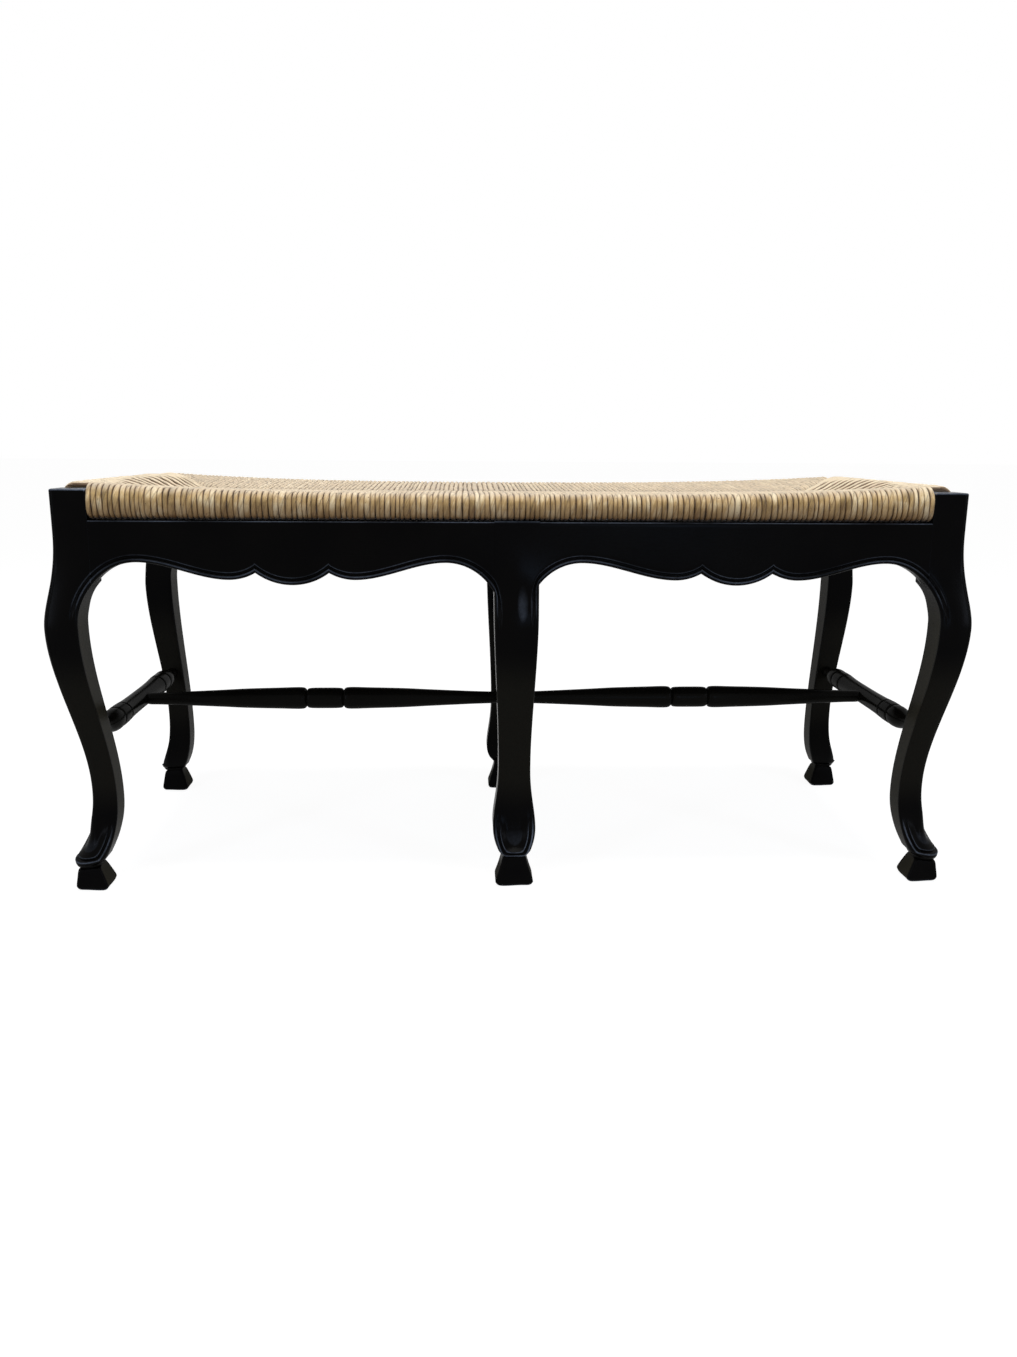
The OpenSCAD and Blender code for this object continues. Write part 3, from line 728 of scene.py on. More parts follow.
        # Painted shade along the sides of each strand, where neighbours meet.
        flank_shade = add_node(tree, "ShaderNodeAttribute", {"attribute_name": "flank_shade"}).outputs["Fac"]
        painted_gap_shade = add_node(
            tree,
            "ShaderNodeMapRange",
            {
                "interpolation_type": "SMOOTHSTEP",
                "From Min": 0.57,
                "From Max": 0.98,
                "To Min": 0.0,
                "To Max": 0.92,
            },
            {0: flank_shade},
        ).outputs[0]
        height = add_node(tree, "ShaderNodeSeparateXYZ", None, {0: place}).outputs[2]
        low = add_node(
            tree,
            "ShaderNodeMapRange",
            {"From Min": 0.447, "From Max": 0.475, "To Min": 0.95, "To Max": 0.0},
            {0: height},
        ).outputs[0]
        dust = add_node(
            tree, "ShaderNodeTexNoise", {"Scale": 1000.0 / self.speck_mm, "Detail": 2.0}, {"Vector": place}
        ).outputs["Fac"]
        specks = add_node(
            tree,
            "ShaderNodeMapRange",
            {"From Min": 0.69, "From Max": 0.76, "To Min": 0.0, "To Max": 0.8},
            {0: dust},
        ).outputs[0]
        # Mixes in the brown: painted shade in creases and between strands, darker toward the roll's lower
        # edge, and real dark specks.
        colour = worn_and_lit
        for darkened in (shade, painted_gap_shade, low, specks):
            colour = add_node(
                tree,
                "ShaderNodeMix",
                {"data_type": "RGBA", 7: linear_colour(self.shade_and_speck_brown)},
                {0: darkened, 6: colour},
            ).outputs[2]
        hair = add_node(
            tree, "ShaderNodeBump", {"Strength": 0.55, "Distance": 0.0004}, {"Height": streak}
        ).outputs[0]
        dip = add_node(
            tree,
            "ShaderNodeBump",
            {"Strength": 0.8, "Distance": 0.0009, "invert": True},
            {"Height": groove, "Normal": hair},
        ).outputs[0]
        shader = add_node(
            tree,
            "ShaderNodeBsdfPrincipled",
            {"Roughness": 0.58, "Specular IOR Level": 0.4, "Sheen Weight": 0.12},
            {"Base Color": colour, "Normal": dip},
        )
        add_node(tree, "ShaderNodeOutputMaterial", None, {"Surface": shader.outputs[0]})
        return material


@dataclass(frozen=True)
class LooseRush:
    """Short ends of rush packed under the weave: dull dark straw that shows only in the gaps."""

    pale: str = "#6b5737"
    dark: str = "#2c2114"
    wisp_mm: float = 4.0

    def material(self) -> bpy.types.Material:
        """Builds the material.

        Returns:
            A dull, rough, dark straw material.
        """
        material, tree = new_material("loose_rush")
        place = add_node(tree, "ShaderNodeTexCoord").outputs["Object"]
        wisps = add_node(
            tree, "ShaderNodeTexNoise", {"Scale": 1000.0 / self.wisp_mm, "Detail": 4.0}, {"Vector": place}
        ).outputs["Fac"]
        colour = add_node(
            tree,
            "ShaderNodeMix",
            {"data_type": "RGBA", 6: linear_colour(self.dark), 7: linear_colour(self.pale)},
            {0: wisps},
        ).outputs[2]
        relief = add_node(
            tree, "ShaderNodeBump", {"Strength": 0.6, "Distance": 0.001}, {"Height": wisps}
        ).outputs[0]
        shader = add_node(
            tree,
            "ShaderNodeBsdfPrincipled",
            {"Roughness": 0.9, "Specular IOR Level": 0.2},
            {"Base Color": colour, "Normal": relief},
        )
        add_node(tree, "ShaderNodeOutputMaterial", None, {"Surface": shader.outputs[0]})
        return material


@dataclass(frozen=True)
class Outline:
    """Rounded rectangle with the same count of points on each side and corner at every level."""

    side_counts: tuple[int, int, int, int]
    corner_counts: tuple[int, int, int, int]

    def trace(
        self, x: tuple[Array, Array], y: tuple[Array, Array], radii: tuple[Array, ...]
    ) -> tuple[Array, Array, Array]:
        """Points of the outline at each level, counterclockwise from the corner at low x and low y.

        Args:
            x: low and high x at each level.
            y: low and high y at each level.
            radii: radius of each of the four corners at each level.

        Returns:
            Points as level, point, (x, y); outward directions of the same shape; and for each
            point its place, 0 to 3 on the four corners and 4 to 7 on the sides after them.
        """
        corners = [(x[0], y[0], 1, 1), (x[1], y[0], -1, 1), (x[1], y[1], -1, -1), (x[0], y[1], 1, -1)]
        arcs, ways = [], []
        for i, (cx, cy, sx, sy) in enumerate(corners):
            turn = np.radians(180.0 + 90.0 * i + np.linspace(0, 90, self.corner_counts[i]))[None, :]
            way = np.stack([np.cos(turn), np.sin(turn)], axis=-1) + np.zeros((len(cx), 1, 1))
            r = radii[i][:, None]
            centre = np.stack([cx[:, None] + sx * r, cy[:, None] + sy * r], axis=-1)
            arcs.append(centre + way * r[..., None])
            ways.append(way)
        points, outward, places = [], [], []
        for i in range(4):
            t = (np.arange(1, self.side_counts[i] + 1) / (self.side_counts[i] + 1))[None, :, None]
            start, end = arcs[i][:, -1:, :], arcs[(i + 1) % 4][:, :1, :]
            points += [arcs[i], mix(start, end, t)]
            outward += [ways[i], ways[i][:, -1:, :] + 0.0 * t]
            places += [np.full(self.corner_counts[i], i), np.full(self.side_counts[i], 4 + i)]
        return np.concatenate(points, axis=1), np.concatenate(outward, axis=1), np.concatenate(places)

    def inset(self, points: Array, first: int, last: int) -> Array:
        """Way along the outline from the nearer of two arrises, which lie in the middle of corners.

        Args:
            points: level, point, (x, y), as traced.
            first: number of the corner where the carved part of the outline begins.
            last: number of the corner where it ends.

        Returns:
            Way in from the nearer arris, negative outside the part between them.
        """
        step = np.linalg.norm(np.diff(points, axis=1), axis=-1)
        way = np.concatenate([np.zeros((len(points), 1)), np.cumsum(step, axis=1)], axis=1)
        middles = []
        for corner in (first, last):
            start = sum(self.corner_counts[:corner]) + sum(self.side_counts[:corner])
            middles.append(way[:, start : start + self.corner_counts[corner]].mean(axis=1, keepdims=True))
        return np.minimum(way - middles[0], middles[1] - way)

    def arris(self, radii: tuple[Array, ...]) -> Array:
        """Where the outline has a narrow corner, which takes the painted highlight on the edges first.

        In words: a bell of the way along the arc from its middle, times a bell of the radius.

        Args:
            radii: radius of each of the four corners at each level.

        Returns:
            Level by point, 1 in the middle of a sharp corner and 0 on the sides.
        """
        parts = []
        for radius, arc, side in zip(radii, self.corner_counts, self.side_counts):
            way = radius[:, None] * np.radians(np.linspace(-45, 45, arc))[None, :]
            parts += [bell(way, 0.0, 1.3) * bell(radius[:, None], 0.0, 8.0), np.zeros((len(radius), side))]
        return np.concatenate(parts, axis=1)


@dataclass
class CabrioleLegs:
    """The four corner legs and the two middle legs, each carved from one piece of wood."""

    sizes: BenchSizes
    curve: LegCurve
    moulding: Moulding
    block_side: float = 37.4
    middle_block_width: float = 46.0
    block_neck: float = 27.0
    block_reach: float = 5.8
    neck_height: float = 25.5
    middle_lift: float = 9.6
    rim: float = 2.4
    toe_groove: float = 5.3
    second_rim: float = 7.9
    scoop: float = 3.2
    scoop_base: float = 48.0
    scoop_top: float = 86.0
    arris_highlight: float = 0.22
    floor_wear: float = 0.3
    knee_highlight: float = 0.34
    post_top_wear: float = 0.7
    top_edge_highlight: float = 0.45
    hollowing: float = 10.0

    def heights(self, top: float) -> Array:
        """Heights of the sections above the toe, close together where the carving is fine."""
        lip = self.curve.toe_height
        bands = [(lip + 4.4, 100, 1.2), (100, 308, 5.0), (308, 404, 0.9), (404, top, 3.5)]
        return np.concatenate([np.arange(a, b, step) for a, b, step in bands] + [np.array([top])])

    def toe_edge(self, lip: Array, side: Array) -> Array:
        """Distance from the edge of the toe's face.

        It is a soft smallest of the two ways, so what follows it runs round as an oval.

        Args:
            lip: way up from the lip.
            side: way in from the nearest side arris.

        Returns:
            Distance from the edge.
        """
        power = 3.0
        return (np.maximum(lip, 0.01) ** -power + np.maximum(side, 0.01) ** -power) ** (-1 / power)

    def toe_relief(self, lip: Array, side: Array, z: Array) -> Array:
        """Carving of the toe: a raised rim, a groove, a second finer rim and a shallow scoop.

        All of it fades out up the ankle.

        Args:
            lip: way up from the lip.
            side: way in from the nearest side arris.
            z: height.

        Returns:
            Distance outward, negative where wood is taken away.
        """
        d = self.toe_edge(lip, side)
        carved = (
            0.9 * bell(d, self.rim, 1.6)
            - 1.3 * bell(d, self.toe_groove, 1.1)
            + 0.9 * bell(d, self.second_rim, 1.2)
            - self.scoop * rising(d, self.second_rim, 9.0)
        )
        return carved * fading(z, self.scoop_base, self.scoop_top - self.scoop_base)

    def worn_foot(self, x: Array, y: Array, level: Array) -> Array:
        """Unevenness of a scuffed lower edge: two slow waves across the block, gone by its middle."""
        wave = 0.5 + 0.3 * np.sin(x / 6.3 + 0.4) + 0.2 * np.sin(y / 4.1 + x / 9.0)
        return wave * fading(level, 0, 12)

    def foot_wear(self, level: Array) -> Array:
        """Wear of the lowest edge of a block, gone a few millimetres up."""
        return self.floor_wear * fading(level, 1.5, 3)

    def shank(self, z: Array) -> Array:
        """Share of the olive-brown tone on the plain shank at height z."""
        return 0.3 * rising(z, 90, 50) * fading(z, 240, 60)

    def painted_toe_highlight(self, lip: Array, side: Array, z: Array) -> Array:
        """How much painted highlight the carved toe takes: its two rims most, its scoop a little.

        Args:
            lip: way up from the lip.
            side: way in from the nearest side arris.
            z: height.

        Returns:
            Share that fades out up the ankle.
        """
        d = self.toe_edge(lip, side)
        rims = 0.55 * bell(d, self.rim, 1.3) + 0.4 * bell(d, self.second_rim, 0.9)
        bright = rims + 0.24 * rising(d, 9.0, 6.0)
        return bright * fading(z, 50.0, 46.0)

    def arch_distance(self, run: Array, z: Array) -> Array:
        """Distance of a point of a corner leg's face from the arch and the leg's inner edge.

        Args:
            run: way in from the inner face of the post.
            z: height.

        Returns:
            Distance from the arch above its centre, and from the edge below it.
        """
        s = self.sizes
        return np.where(z >= s.arch_base, s.arch_way(run + s.crown_run, z), run - self.curve.inner(z))

    def middle_distance(self, x: Array, z: Array) -> Array:
        """Distance of a point of a middle leg's face from the arches and the leg's own edges.

        Args:
            x: way from the middle of the leg.
            z: height.

        Returns:
            A soft largest of the way out from the arch and the way in from the leg's side.
        """
        s = self.sizes
        past = np.where(x < 0, *s.middle_runs) + s.middle_leg_width / 2 - np.abs(x)
        ring = s.arch_way(past, z)
        over = np.where(z > s.arch_base, np.maximum(ring, 0), 0.0)
        beside = np.maximum(self.curve.half_width(z) - np.abs(x), 0)
        power = 1.7
        return (over**power + beside**power) ** (1 / power)

    def corner_leg(self) -> Surface:
        """Corner leg in the quarter where x and y are positive.

        Sections are rounded squares: a worn block that narrows to a neck, the toe that
        overhangs it, and the S curve up to the square post. Sections near the toe tilt up
        toward the inside. Each face then takes the carving, the swell and the moulding.

        Returns:
            The closed surface, with a value for the painted highlight and scuffing and a value for the
            olive tone and painted reflection.
        """
        s, c = self.sizes, self.curve
        tip = c.toe_height
        reach = self.block_reach
        low = reach - self.block_side
        neck_out = reach - (self.block_side - self.block_neck) * 0.25
        neck_in = neck_out - self.block_neck

        def heel(z: Array | float, tilt: Array | float) -> Array:
            """Inner side of a tilted section, from the outer face of the post."""
            return c.inner(np.asarray(z + tilt * c.rise(s.post_side))) - s.post_side

        foot = smooth_through(
            np.array(
                [
                    [0.0, low + 3.4, reach - 3.4, 6.0, 4.0, 0.0],
                    [0.9, low + 1.7, reach - 1.7, 5.6, 3.6, 0.0],
                    [3.0, low + 0.5, reach - 0.5, 5.0, 3.0, 0.0],
                    [7.0, low, reach, 4.2, 2.6, 0.0],
                    [17.0, mix(low, neck_in, 0.5), mix(reach, neck_out, 0.5), 4.0, 2.6, 0.1],
                    [self.neck_height, neck_in, neck_out, 4.6, 3.4, 0.22],
                    [tip - 8.8, neck_in + 0.6, c.toe_reach - 6.4, 11.0, 8.0, 0.24],
                    [tip - 7.2, neck_in - 0.6, c.toe_reach - 3.0, 16.0, 12.0, 0.26],
                    [tip - 4.8, neck_in - 2.2, c.toe_reach - 0.5, 19.5, 16.0, 0.29],
                    [
                        tip - 2.0,
                        mix(neck_in - 3.4, heel(tip, 0.3), 0.7),
                        c.toe_reach + 0.7,
                        21.0,
                        17.0,
                        0.3,
                    ],
                    [tip + 1.0, heel(tip + 1.0, 0.3), c.toe_reach + 0.2, 21.0, 16.0, 0.3],
                    [tip + 3.2, heel(tip + 3.2, 0.3), c.toe_reach - 1.7, 20.5, 14.4, 0.3],
                ]
            ),
            4,
        )
        z = self.heights(s.post_height - 1.5)
        tilt = c.slope(z)
        inner = heel(z, tilt)
        above = z - tip
        beside = 1.8 + 15.0 * np.exp(-above / 17.0) - 1.45 * rising(z, 322, 26)
        beside = beside + 1.2 * rising(z, s.apron_top, 4)
        base = np.stack([z, inner, c.outer(z), mix(20.0, 5.0, ease(above / 58)), beside, tilt], axis=1)
        cap = np.array(
            [
                [s.post_height - 0.5, 0.5 - s.post_side, -0.5, 4.6, 1.5, 0.0],
                [s.post_height, 1.6 - s.post_side, -1.6, 4.0, 1.0, 0.0],
            ]
        )
        rows = np.concatenate([foot, base, cap])
        z, a, b, r, beside, tilt = rows.T
        outline = Outline((8, 42, 42, 8), (6, 26, 22, 26))
        hollowed = self.hollowing * rising(z, 338, 32) * fading(z, 396, 24)
        radii = (np.minimum(beside, 4.0) + hollowed, beside, r, beside)
        x_range = (s.half_length + a, s.half_length + b)
        y_range = (s.half_depth + a, s.half_depth + b)
        xy, out, place = outline.trace(x_range, y_range, radii)
        x, y = xy[..., 0], xy[..., 1]
        level = z[:, None] + np.zeros_like(x)
        far_x, far_y = (s.half_length + b)[:, None], (s.half_depth + b)[:, None]
        height = level + tilt[:, None] * c.rise(
            ((far_x - x) + (far_y - y) - 0.6 * r[:, None]) / math.sqrt(2)
        )
        height = height + self.worn_foot(x, y, level)
        on_end = np.isin(place, (1, 5))[None, :] & np.ones_like(x, bool)
        on_long = np.isin(place, (6, 3))[None, :] & np.ones_like(x, bool)
        on_corner = (place == 2)[None, :] & np.ones_like(x, bool)
        run = np.where(on_end, y - s.post_in_y, x - s.post_in_x)
        span = (b - a)[:, None]
        share_x = (x - s.half_length - a[:, None]) / span
        share_y = (y - s.half_depth - a[:, None]) / span
        share = np.where(on_end, share_y, share_x)
        outer_side = on_end | on_long | on_corner
        lip = (level - tip) * 1.2 + 1.6
        side = outline.inset(xy, 1, 3)
        carved = self.toe_relief(lip, side, level) * ease((level - tip + 2) / 3)
        crown = (0.8 + 1.6 * bell(level, 318, 60)) * (1 - (2 * share - 1) ** 2) * rising(level, 60, 60)
        crown = crown * fading(level, 372, 40)
        d = np.where(on_corner, 60.0, self.arch_distance(run, height))
        fade = rising(height, 322, 44) * fading(height, 436, 8)
        beaded = self.moulding.relief(np.maximum(d, 0.0)) * fade
        joined = ease((level - 345) / (s.arch_join - 345))
        swell = c.outer(level) * (self.moulding.blend(run) - 1) * joined
        face = np.where(on_end | on_long, beaded + swell + crown, 0.0)
        lift = np.where(outer_side, carved, 0.0)
        flat_x = np.where(on_end, 1.0, 0.0)
        flat_y = np.where(on_long, 1.0, 0.0)
        x = x + out[..., 0] * lift + flat_x * face
        y = y + out[..., 1] * lift + flat_y * face
        # Painted highlight on the arrises, over the scuffing of the lowest edge of the foot.
        wear_and_highlight = self.arris_highlight * outline.arris(radii) + self.foot_wear(level)
        wear_and_highlight = wear_and_highlight + self.post_top_wear * ease((level - s.post_height + 2.5) / 2)
        # Painted highlight on the carved toe.
        wear_and_highlight = wear_and_highlight + np.where(outer_side, self.painted_toe_highlight(lip, side, level), 0.0)
        # Painted highlight along the moulding.
        wear_and_highlight = wear_and_highlight + np.where(on_end | on_long, self.moulding.shine(d) * fade, 0.0)
        # Painted reflection on the inner side face, plus the olive-brown tone of the shank.
        thin_and_reflection = np.where(place == 7, 1.0, 0.0)[None, :] * fading(level, 330, 40) + self.shank(level)
        values = {"wear_and_highlight": np.clip(wear_and_highlight, 0, 1), "thin_and_reflection": np.clip(thin_and_reflection, 0, 1)}
        return closed_loft(np.stack([x, y, height], axis=-1), values)

    def middle_leg(self) -> Surface:
        """Middle leg on the side where y is positive.

        Sections are rounded oblongs that widen into a rounded toe with a carved face, over a
        worn block, and a soft upright ridge stands on the knee.

        Returns:
            The closed surface, with a value for the painted highlight and scuffing and a value for the
            olive tone and painted reflection.
        """
        s, c = self.sizes, self.curve
        tip = c.toe_height
        reach = self.block_reach
        low = reach - self.block_side
        neck_out = reach - (self.block_side - self.block_neck) * 0.5
        neck_in = neck_out - self.block_neck
        wide, neck = self.middle_block_width / 2, self.block_neck / 2 + 0.9
        lip = tip + self.middle_lift
        flared = [mix(wide, neck, 0.55), mix(low, neck_in, 0.55), mix(reach, neck_out, 0.55)]

        def heel(z: Array | float) -> Array:
            """Back of a tilted section, from the outer face of the post."""
            return c.inner(np.asarray(z + 0.28 * c.rise(s.post_side))) - s.post_side

        def oval(z: float) -> float:
            """Half width of the rounded lower end of the toe, never narrower than the neck."""
            return max(neck, float(c.half_width(np.array(z))))

        foot = smooth_through(
            np.array(
                [
                    [0.0, wide - 3.4, low + 3.4, reach - 3.4, 6.0, 0.0],
                    [0.9, wide - 1.7, low + 1.7, reach - 1.7, 5.6, 0.0],
                    [3.0, wide - 0.5, low + 0.5, reach - 0.5, 5.0, 0.0],
                    [7.0, wide, low, reach, 4.2, 0.0],
                    [21.0, *flared, 3.4, 0.1],
                    [lip - 9.6, neck, neck_in, neck_out, 3.6, 0.2],
                    [lip - 7.8, neck, neck_in, c.toe_reach - 5.2, 4.2, 0.22],
                    [lip - 5.8, oval(lip - 5.8), neck_in - 0.8, c.toe_reach - 2.6, 5.0, 0.25],
                    [lip - 3.2, oval(lip - 3.2), neck_in - 2.2, c.toe_reach - 0.7, 5.6, 0.27],
                    [lip, oval(lip), mix(neck_in - 3.4, heel(lip), 0.6), c.toe_reach + 0.3, 6.0, 0.28],
                    [lip + 2.2, oval(lip + 2.2), heel(lip + 2.2), c.toe_reach - 0.6, 6.2, 0.28],
                ]
            ),
            4,
        )
        z = self.heights(s.apron_top)
        z = z[z > lip + 3.4]
        lowered = z - self.middle_lift * fading(z, lip, 66)
        tilt = c.slope(z) * 0.95
        half = c.half_width(z)
        soft = mix(6.4, 3.2, rising(z, lip, 56))
        inner = c.inner(z + tilt * c.rise(s.post_side)) - s.post_side
        base = np.stack([z, half, inner, c.outer(lowered), np.minimum(soft, half * 0.9), tilt], axis=1)
        rows = np.concatenate([foot, base])
        z, half, a, b, r, tilt = rows.T
        blunt = mix(2.4, 0.15, rising(z, 350, 26))
        r = np.where(z > 340, np.minimum(r, mix(3.2, 0.15, rising(z, 350, 26))), r)
        outline = Outline((10, 12, 104, 12), (4, 4, 12, 12))
        radii = (blunt, blunt, r, r)
        xy, _, place = outline.trace((-half, half), (s.half_depth + a, s.half_depth + b), radii)
        x, y = xy[..., 0], xy[..., 1]
        level = z[:, None] + np.zeros_like(x)
        height = level + tilt[:, None] * c.rise((s.half_depth + b)[:, None] - y)
        height = height + self.worn_foot(x, y, level)
        front = np.isin(place, (2, 3, 6))[None, :] & np.ones_like(x, bool)
        up, side = (level - lip + 6.8) * 1.15, outline.inset(xy, 2, 3)
        carved = self.toe_relief(up, side, level - 8) * ease((level - lip + 6) / 3)
        d = self.middle_distance(x, height)
        fade = rising(height, 306, 60) * fading(height, 436, 8)
        beaded = self.moulding.relief(np.maximum(d, 0.0)) * fade
        joined = rising(level, 340, 22)
        swell = c.outer(level) * (self.moulding.blend(s.middle_leg_width / 2 - np.abs(x)) - 1) * joined
        across = x / half[:, None]
        crown = (1.0 + 1.2 * bell(level, 318, 70)) * (1 - across**2)
        crown = crown * rising(level, 60, 60) * fading(level, 346, 44)
        ridge = 0.8 * bell(x, 0.0, 14.0) * rising(level, 286, 40) * fading(level, 372, 50)
        y = y + np.where(front, carved + beaded + swell + crown + ridge, 0.0)
        # Painted highlight: a soft bluish patch on the knee of the middle leg.
        knee = self.knee_highlight * bell(x, 7.0, 9.0) * bell(level, 352, 30)
        # Painted highlight on the carved toe.
        toe_highlight = self.painted_toe_highlight(up, side, level - 8)
        # Painted highlight along the top edge of the middle leg.
        top_edge = self.top_edge_highlight * ease((level - s.apron_top + 3) / 3)
        # Painted highlight on the arrises, over the scuffing of the lowest edge of the foot.
        wear_and_highlight = self.arris_highlight * outline.arris(radii) * fading(level, 335, 20) + self.foot_wear(level)
        wear_and_highlight = wear_and_highlight + np.where(front, knee, 0.0)
        # Painted highlight along the moulding, on the carved toe and on the top edge, on the front only.
        wear_and_highlight = wear_and_highlight + np.where(front, self.moulding.shine(d) * fade + toe_highlight + top_edge, 0.0)
        # Painted reflection on both side faces, plus the olive-brown tone of the shank.
        thin_and_reflection = np.isin(place, (5, 7))[None, :] * fading(level, 330, 40) + self.shank(level)
        values = {"wear_and_highlight": np.clip(wear_and_highlight, 0, 1), "thin_and_reflection": np.clip(thin_and_reflection, 0, 1)}
        return closed_loft(np.stack([x, y, height], axis=-1), values)

    def build(self, material: bpy.types.Material) -> list[bpy.types.Object]:
        """Builds the six legs.

        Args:
            material: finish of the legs.

        Returns:
            The six pieces.
        """
        corner, middle = self.corner_leg(), self.middle_leg()
        places = (("left", corner, True), ("middle", middle, False), ("right", corner, False))
        pieces = []
        for row, in_y in (("front", True), ("rear", False)):
            for where, shape, in_x in places:
                piece = shape.mirrored(in_x, in_y).build(f"carved_leg_{row}_{where}", material)
                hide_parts(f"leg_{row}_{where}")
                pieces.append(piece)
        return pieces


@dataclass
class ScallopedAprons:
    """The six apron boards, with a moulded and scalloped lower edge."""

    sizes: BenchSizes
    curve: LegCurve
    moulding: Moulding
    thickness: float = 20.0
    lobe_drop: float = 74.0
    lobe_half_width: float = 42.0
    cusp_drop: float = 60.0
    side_lobe_run: float = 72.0
    side_lobe_drop: float = 68.0
    end_drop: float = 60.0
    station_mm: float = 1.5
    edge_round: float = 2.8
    top_edge_highlight: float = 0.5

    def arch_edge(self, u: Array, crown: float) -> Array:
        """Height of the arch at a way u from the middle of the bay."""
        return self.sizes.arch_line(u - crown, 0.0)

    def scallop_edge(self, u: Array, crown: float) -> Array:
        """Lower edge of a long apron at a way u from the middle of its bay.

        A wide arc, a cusp, a shorter arc, an eased S up to the crown, then the arch.

        Args:
            u: way from the middle of the bay, positive.
            crown: way from there to the crown of the arch.

        Returns:
            Height of the edge.
        """
        s = self.sizes
        lobe, cusp = s.apron_top - self.lobe_drop, s.apron_top - self.cusp_drop
        side = s.apron_top - self.side_lobe_drop
        half, chord = self.lobe_half_width, self.side_lobe_run - self.lobe_half_width
        wide = (half**2 + (cusp - lobe) ** 2) / (2 * (cusp - lobe))
        short = (chord**2 + (cusp - side) ** 2) / (2 * (cusp - side))
        first = lobe + wide - np.sqrt(np.clip(wide**2 - u**2, 0, None))
        second = side + short - np.sqrt(np.clip(short**2 - (self.side_lobe_run - u) ** 2, 0, None))
        rise = mix(side, s.crown_height, ease((u - self.side_lobe_run) / (crown - self.side_lobe_run)))
        low = np.where(u <= half, first, np.where(u <= self.side_lobe_run, second, rise))
        return np.where(u <= crown, low, self.arch_edge(u, crown))

    def end_edge(self, u: Array, crown: float) -> Array:
        """Lower edge of an end apron: eased from the middle up to the crown, then the arch."""
        s = self.sizes
        low = mix(s.apron_top - self.end_drop, s.crown_height, ease(u / crown))
        return np.where(u <= crown, low, self.arch_edge(u, crown))

    def board(
        self,
        stops: list[float],
        edge: Callable[[Array], Array],
        past: Callable[[Array], Array],
        face: float,
    ) -> Surface:
        """A board along x, its moulded face toward positive y.

        At each station the section runs along the underside, up the moulding at set distances
        from the edge, up the face, over the rounded top and down the back.

        Args:
            stops: stations that must be met exactly, the first and last at the legs.
            edge: height of the lower edge at x.
            past: how far x lies beyond the crown of the arch, which is positive in the arch.
            face: y of the face.

        Returns:
            The closed surface, with the values wear and thin.
        """
        s = self.sizes
        parts = [
            np.linspace(a, b, max(2, int((b - a) / self.station_mm)), endpoint=False)
            for a, b in zip(stops, stops[1:])
        ]
        x = np.concatenate(parts + [np.array([stops[-1]])])
        low = edge(x)
        lean = np.abs(np.diff(low) / np.diff(x))
        steep = np.maximum(np.append(lean, lean[-1]), np.insert(lean, 0, lean[0]))
        stretch = np.sqrt(1 + steep**2)[:, None]
        steps = [0, 0.5, 0.95, 1.5, 2.2, 2.9, 3.4, 4.0, 4.6, 5.0, 5.3, 5.6]
        steps += [5.9, 6.3, 6.6, 7.0, 7.4, 7.9, 8.3, 8.7, 9.1, 9.6, 10.1]
        d = np.array(steps + [self.moulding.width])[None, :]
        run = np.maximum(past(x), 0.0)[:, None]
        band = np.where(run > 0, s.arch_line(run, d), low[:, None] + d * stretch)
        top = s.apron_top
        upper = mix(band[:, -1:], top - self.edge_round, (np.arange(1, 15) / 14)[None, :])
        z_face = np.concatenate([band, upper], axis=1)
        d_face = np.concatenate([d + 0 * band, np.full_like(upper, 30.0)], axis=1)
        joint = np.minimum(x - stops[0], stops[-1] - x)[:, None]
        swell = self.curve.outer(z_face) * self.moulding.blend(-joint)
        y_face = face + self.moulding.relief(d_face) + swell
        turn = np.radians(np.array([30.0, 60.0, 90.0]))[None, :]
        y_top = y_face[:, -1:] - self.edge_round * (1 - np.cos(turn))
        z_top = top - self.edge_round * (1 - np.sin(turn)) + 0 * y_top
        back = face - self.thickness
        y_over = mix(y_top[:, -1:] - 0.4, back + 0.8, np.array([[0.3, 0.7, 1.0]]))
        z_back = mix(top - 0.8, low[:, None] + 0.8, np.linspace(0, 1, 7)[None, :])
        y_under = mix(back + 0.8, y_face[:, :1], np.array([[0.0, 0.25, 0.5, 0.75]]))
        y = np.concatenate([y_under, y_face, y_top, y_over, np.full_like(z_back, back)], axis=1)
        z = np.concatenate([low[:, None] + 0 * y_under, z_face, z_top, top + 0 * y_over, z_back], axis=1)
        # Painted highlight along the rounded top edge of the apron.
        top_edge = self.top_edge_highlight * (turn < 1) + 0 * z_top
        # Painted highlight along the moulding and on the rounded top edge.
        worn_and_lit = [0 * y_under, self.moulding.shine(d_face), top_edge, 0 * y_over, 0 * z_back]
        wear_and_highlight = np.concatenate(worn_and_lit, axis=1)
        rings = np.stack([x[:, None] + 0 * y, y, z], axis=-1)
        return closed_loft(rings, {"wear_and_highlight": np.clip(wear_and_highlight, 0, 1), "thin_and_reflection": 0 * wear_and_highlight})

    def long_board(self, middle_run: float) -> Surface:
        """A long apron between a middle leg and a corner leg.

        Args:
            middle_run: way from the middle leg to the crown of the arch beside it.

        Returns:
            The board, on the side where x and y are positive.
        """
        s = self.sizes
        start, stop = s.middle_leg_width / 2, s.post_in_x
        middle = (start + stop) / 2 + s.bay_shift
        near, far = middle - start - middle_run, stop - s.crown_run - middle
        marks = [self.lobe_half_width, self.side_lobe_run]
        stops = [start] + [middle - m for m in marks[::-1]] + [middle + m for m in marks + [far]] + [stop]

        def crown(x: Array) -> Array:
            """Way from the middle of the bay to the crown on the side of x."""
            return np.where(x < middle, near, far)

        return self.board(
            stops,
            lambda x: self.scallop_edge(np.abs(x - middle), crown(x)),
            lambda x: np.abs(x - middle) - crown(x),
            s.half_depth,
        )

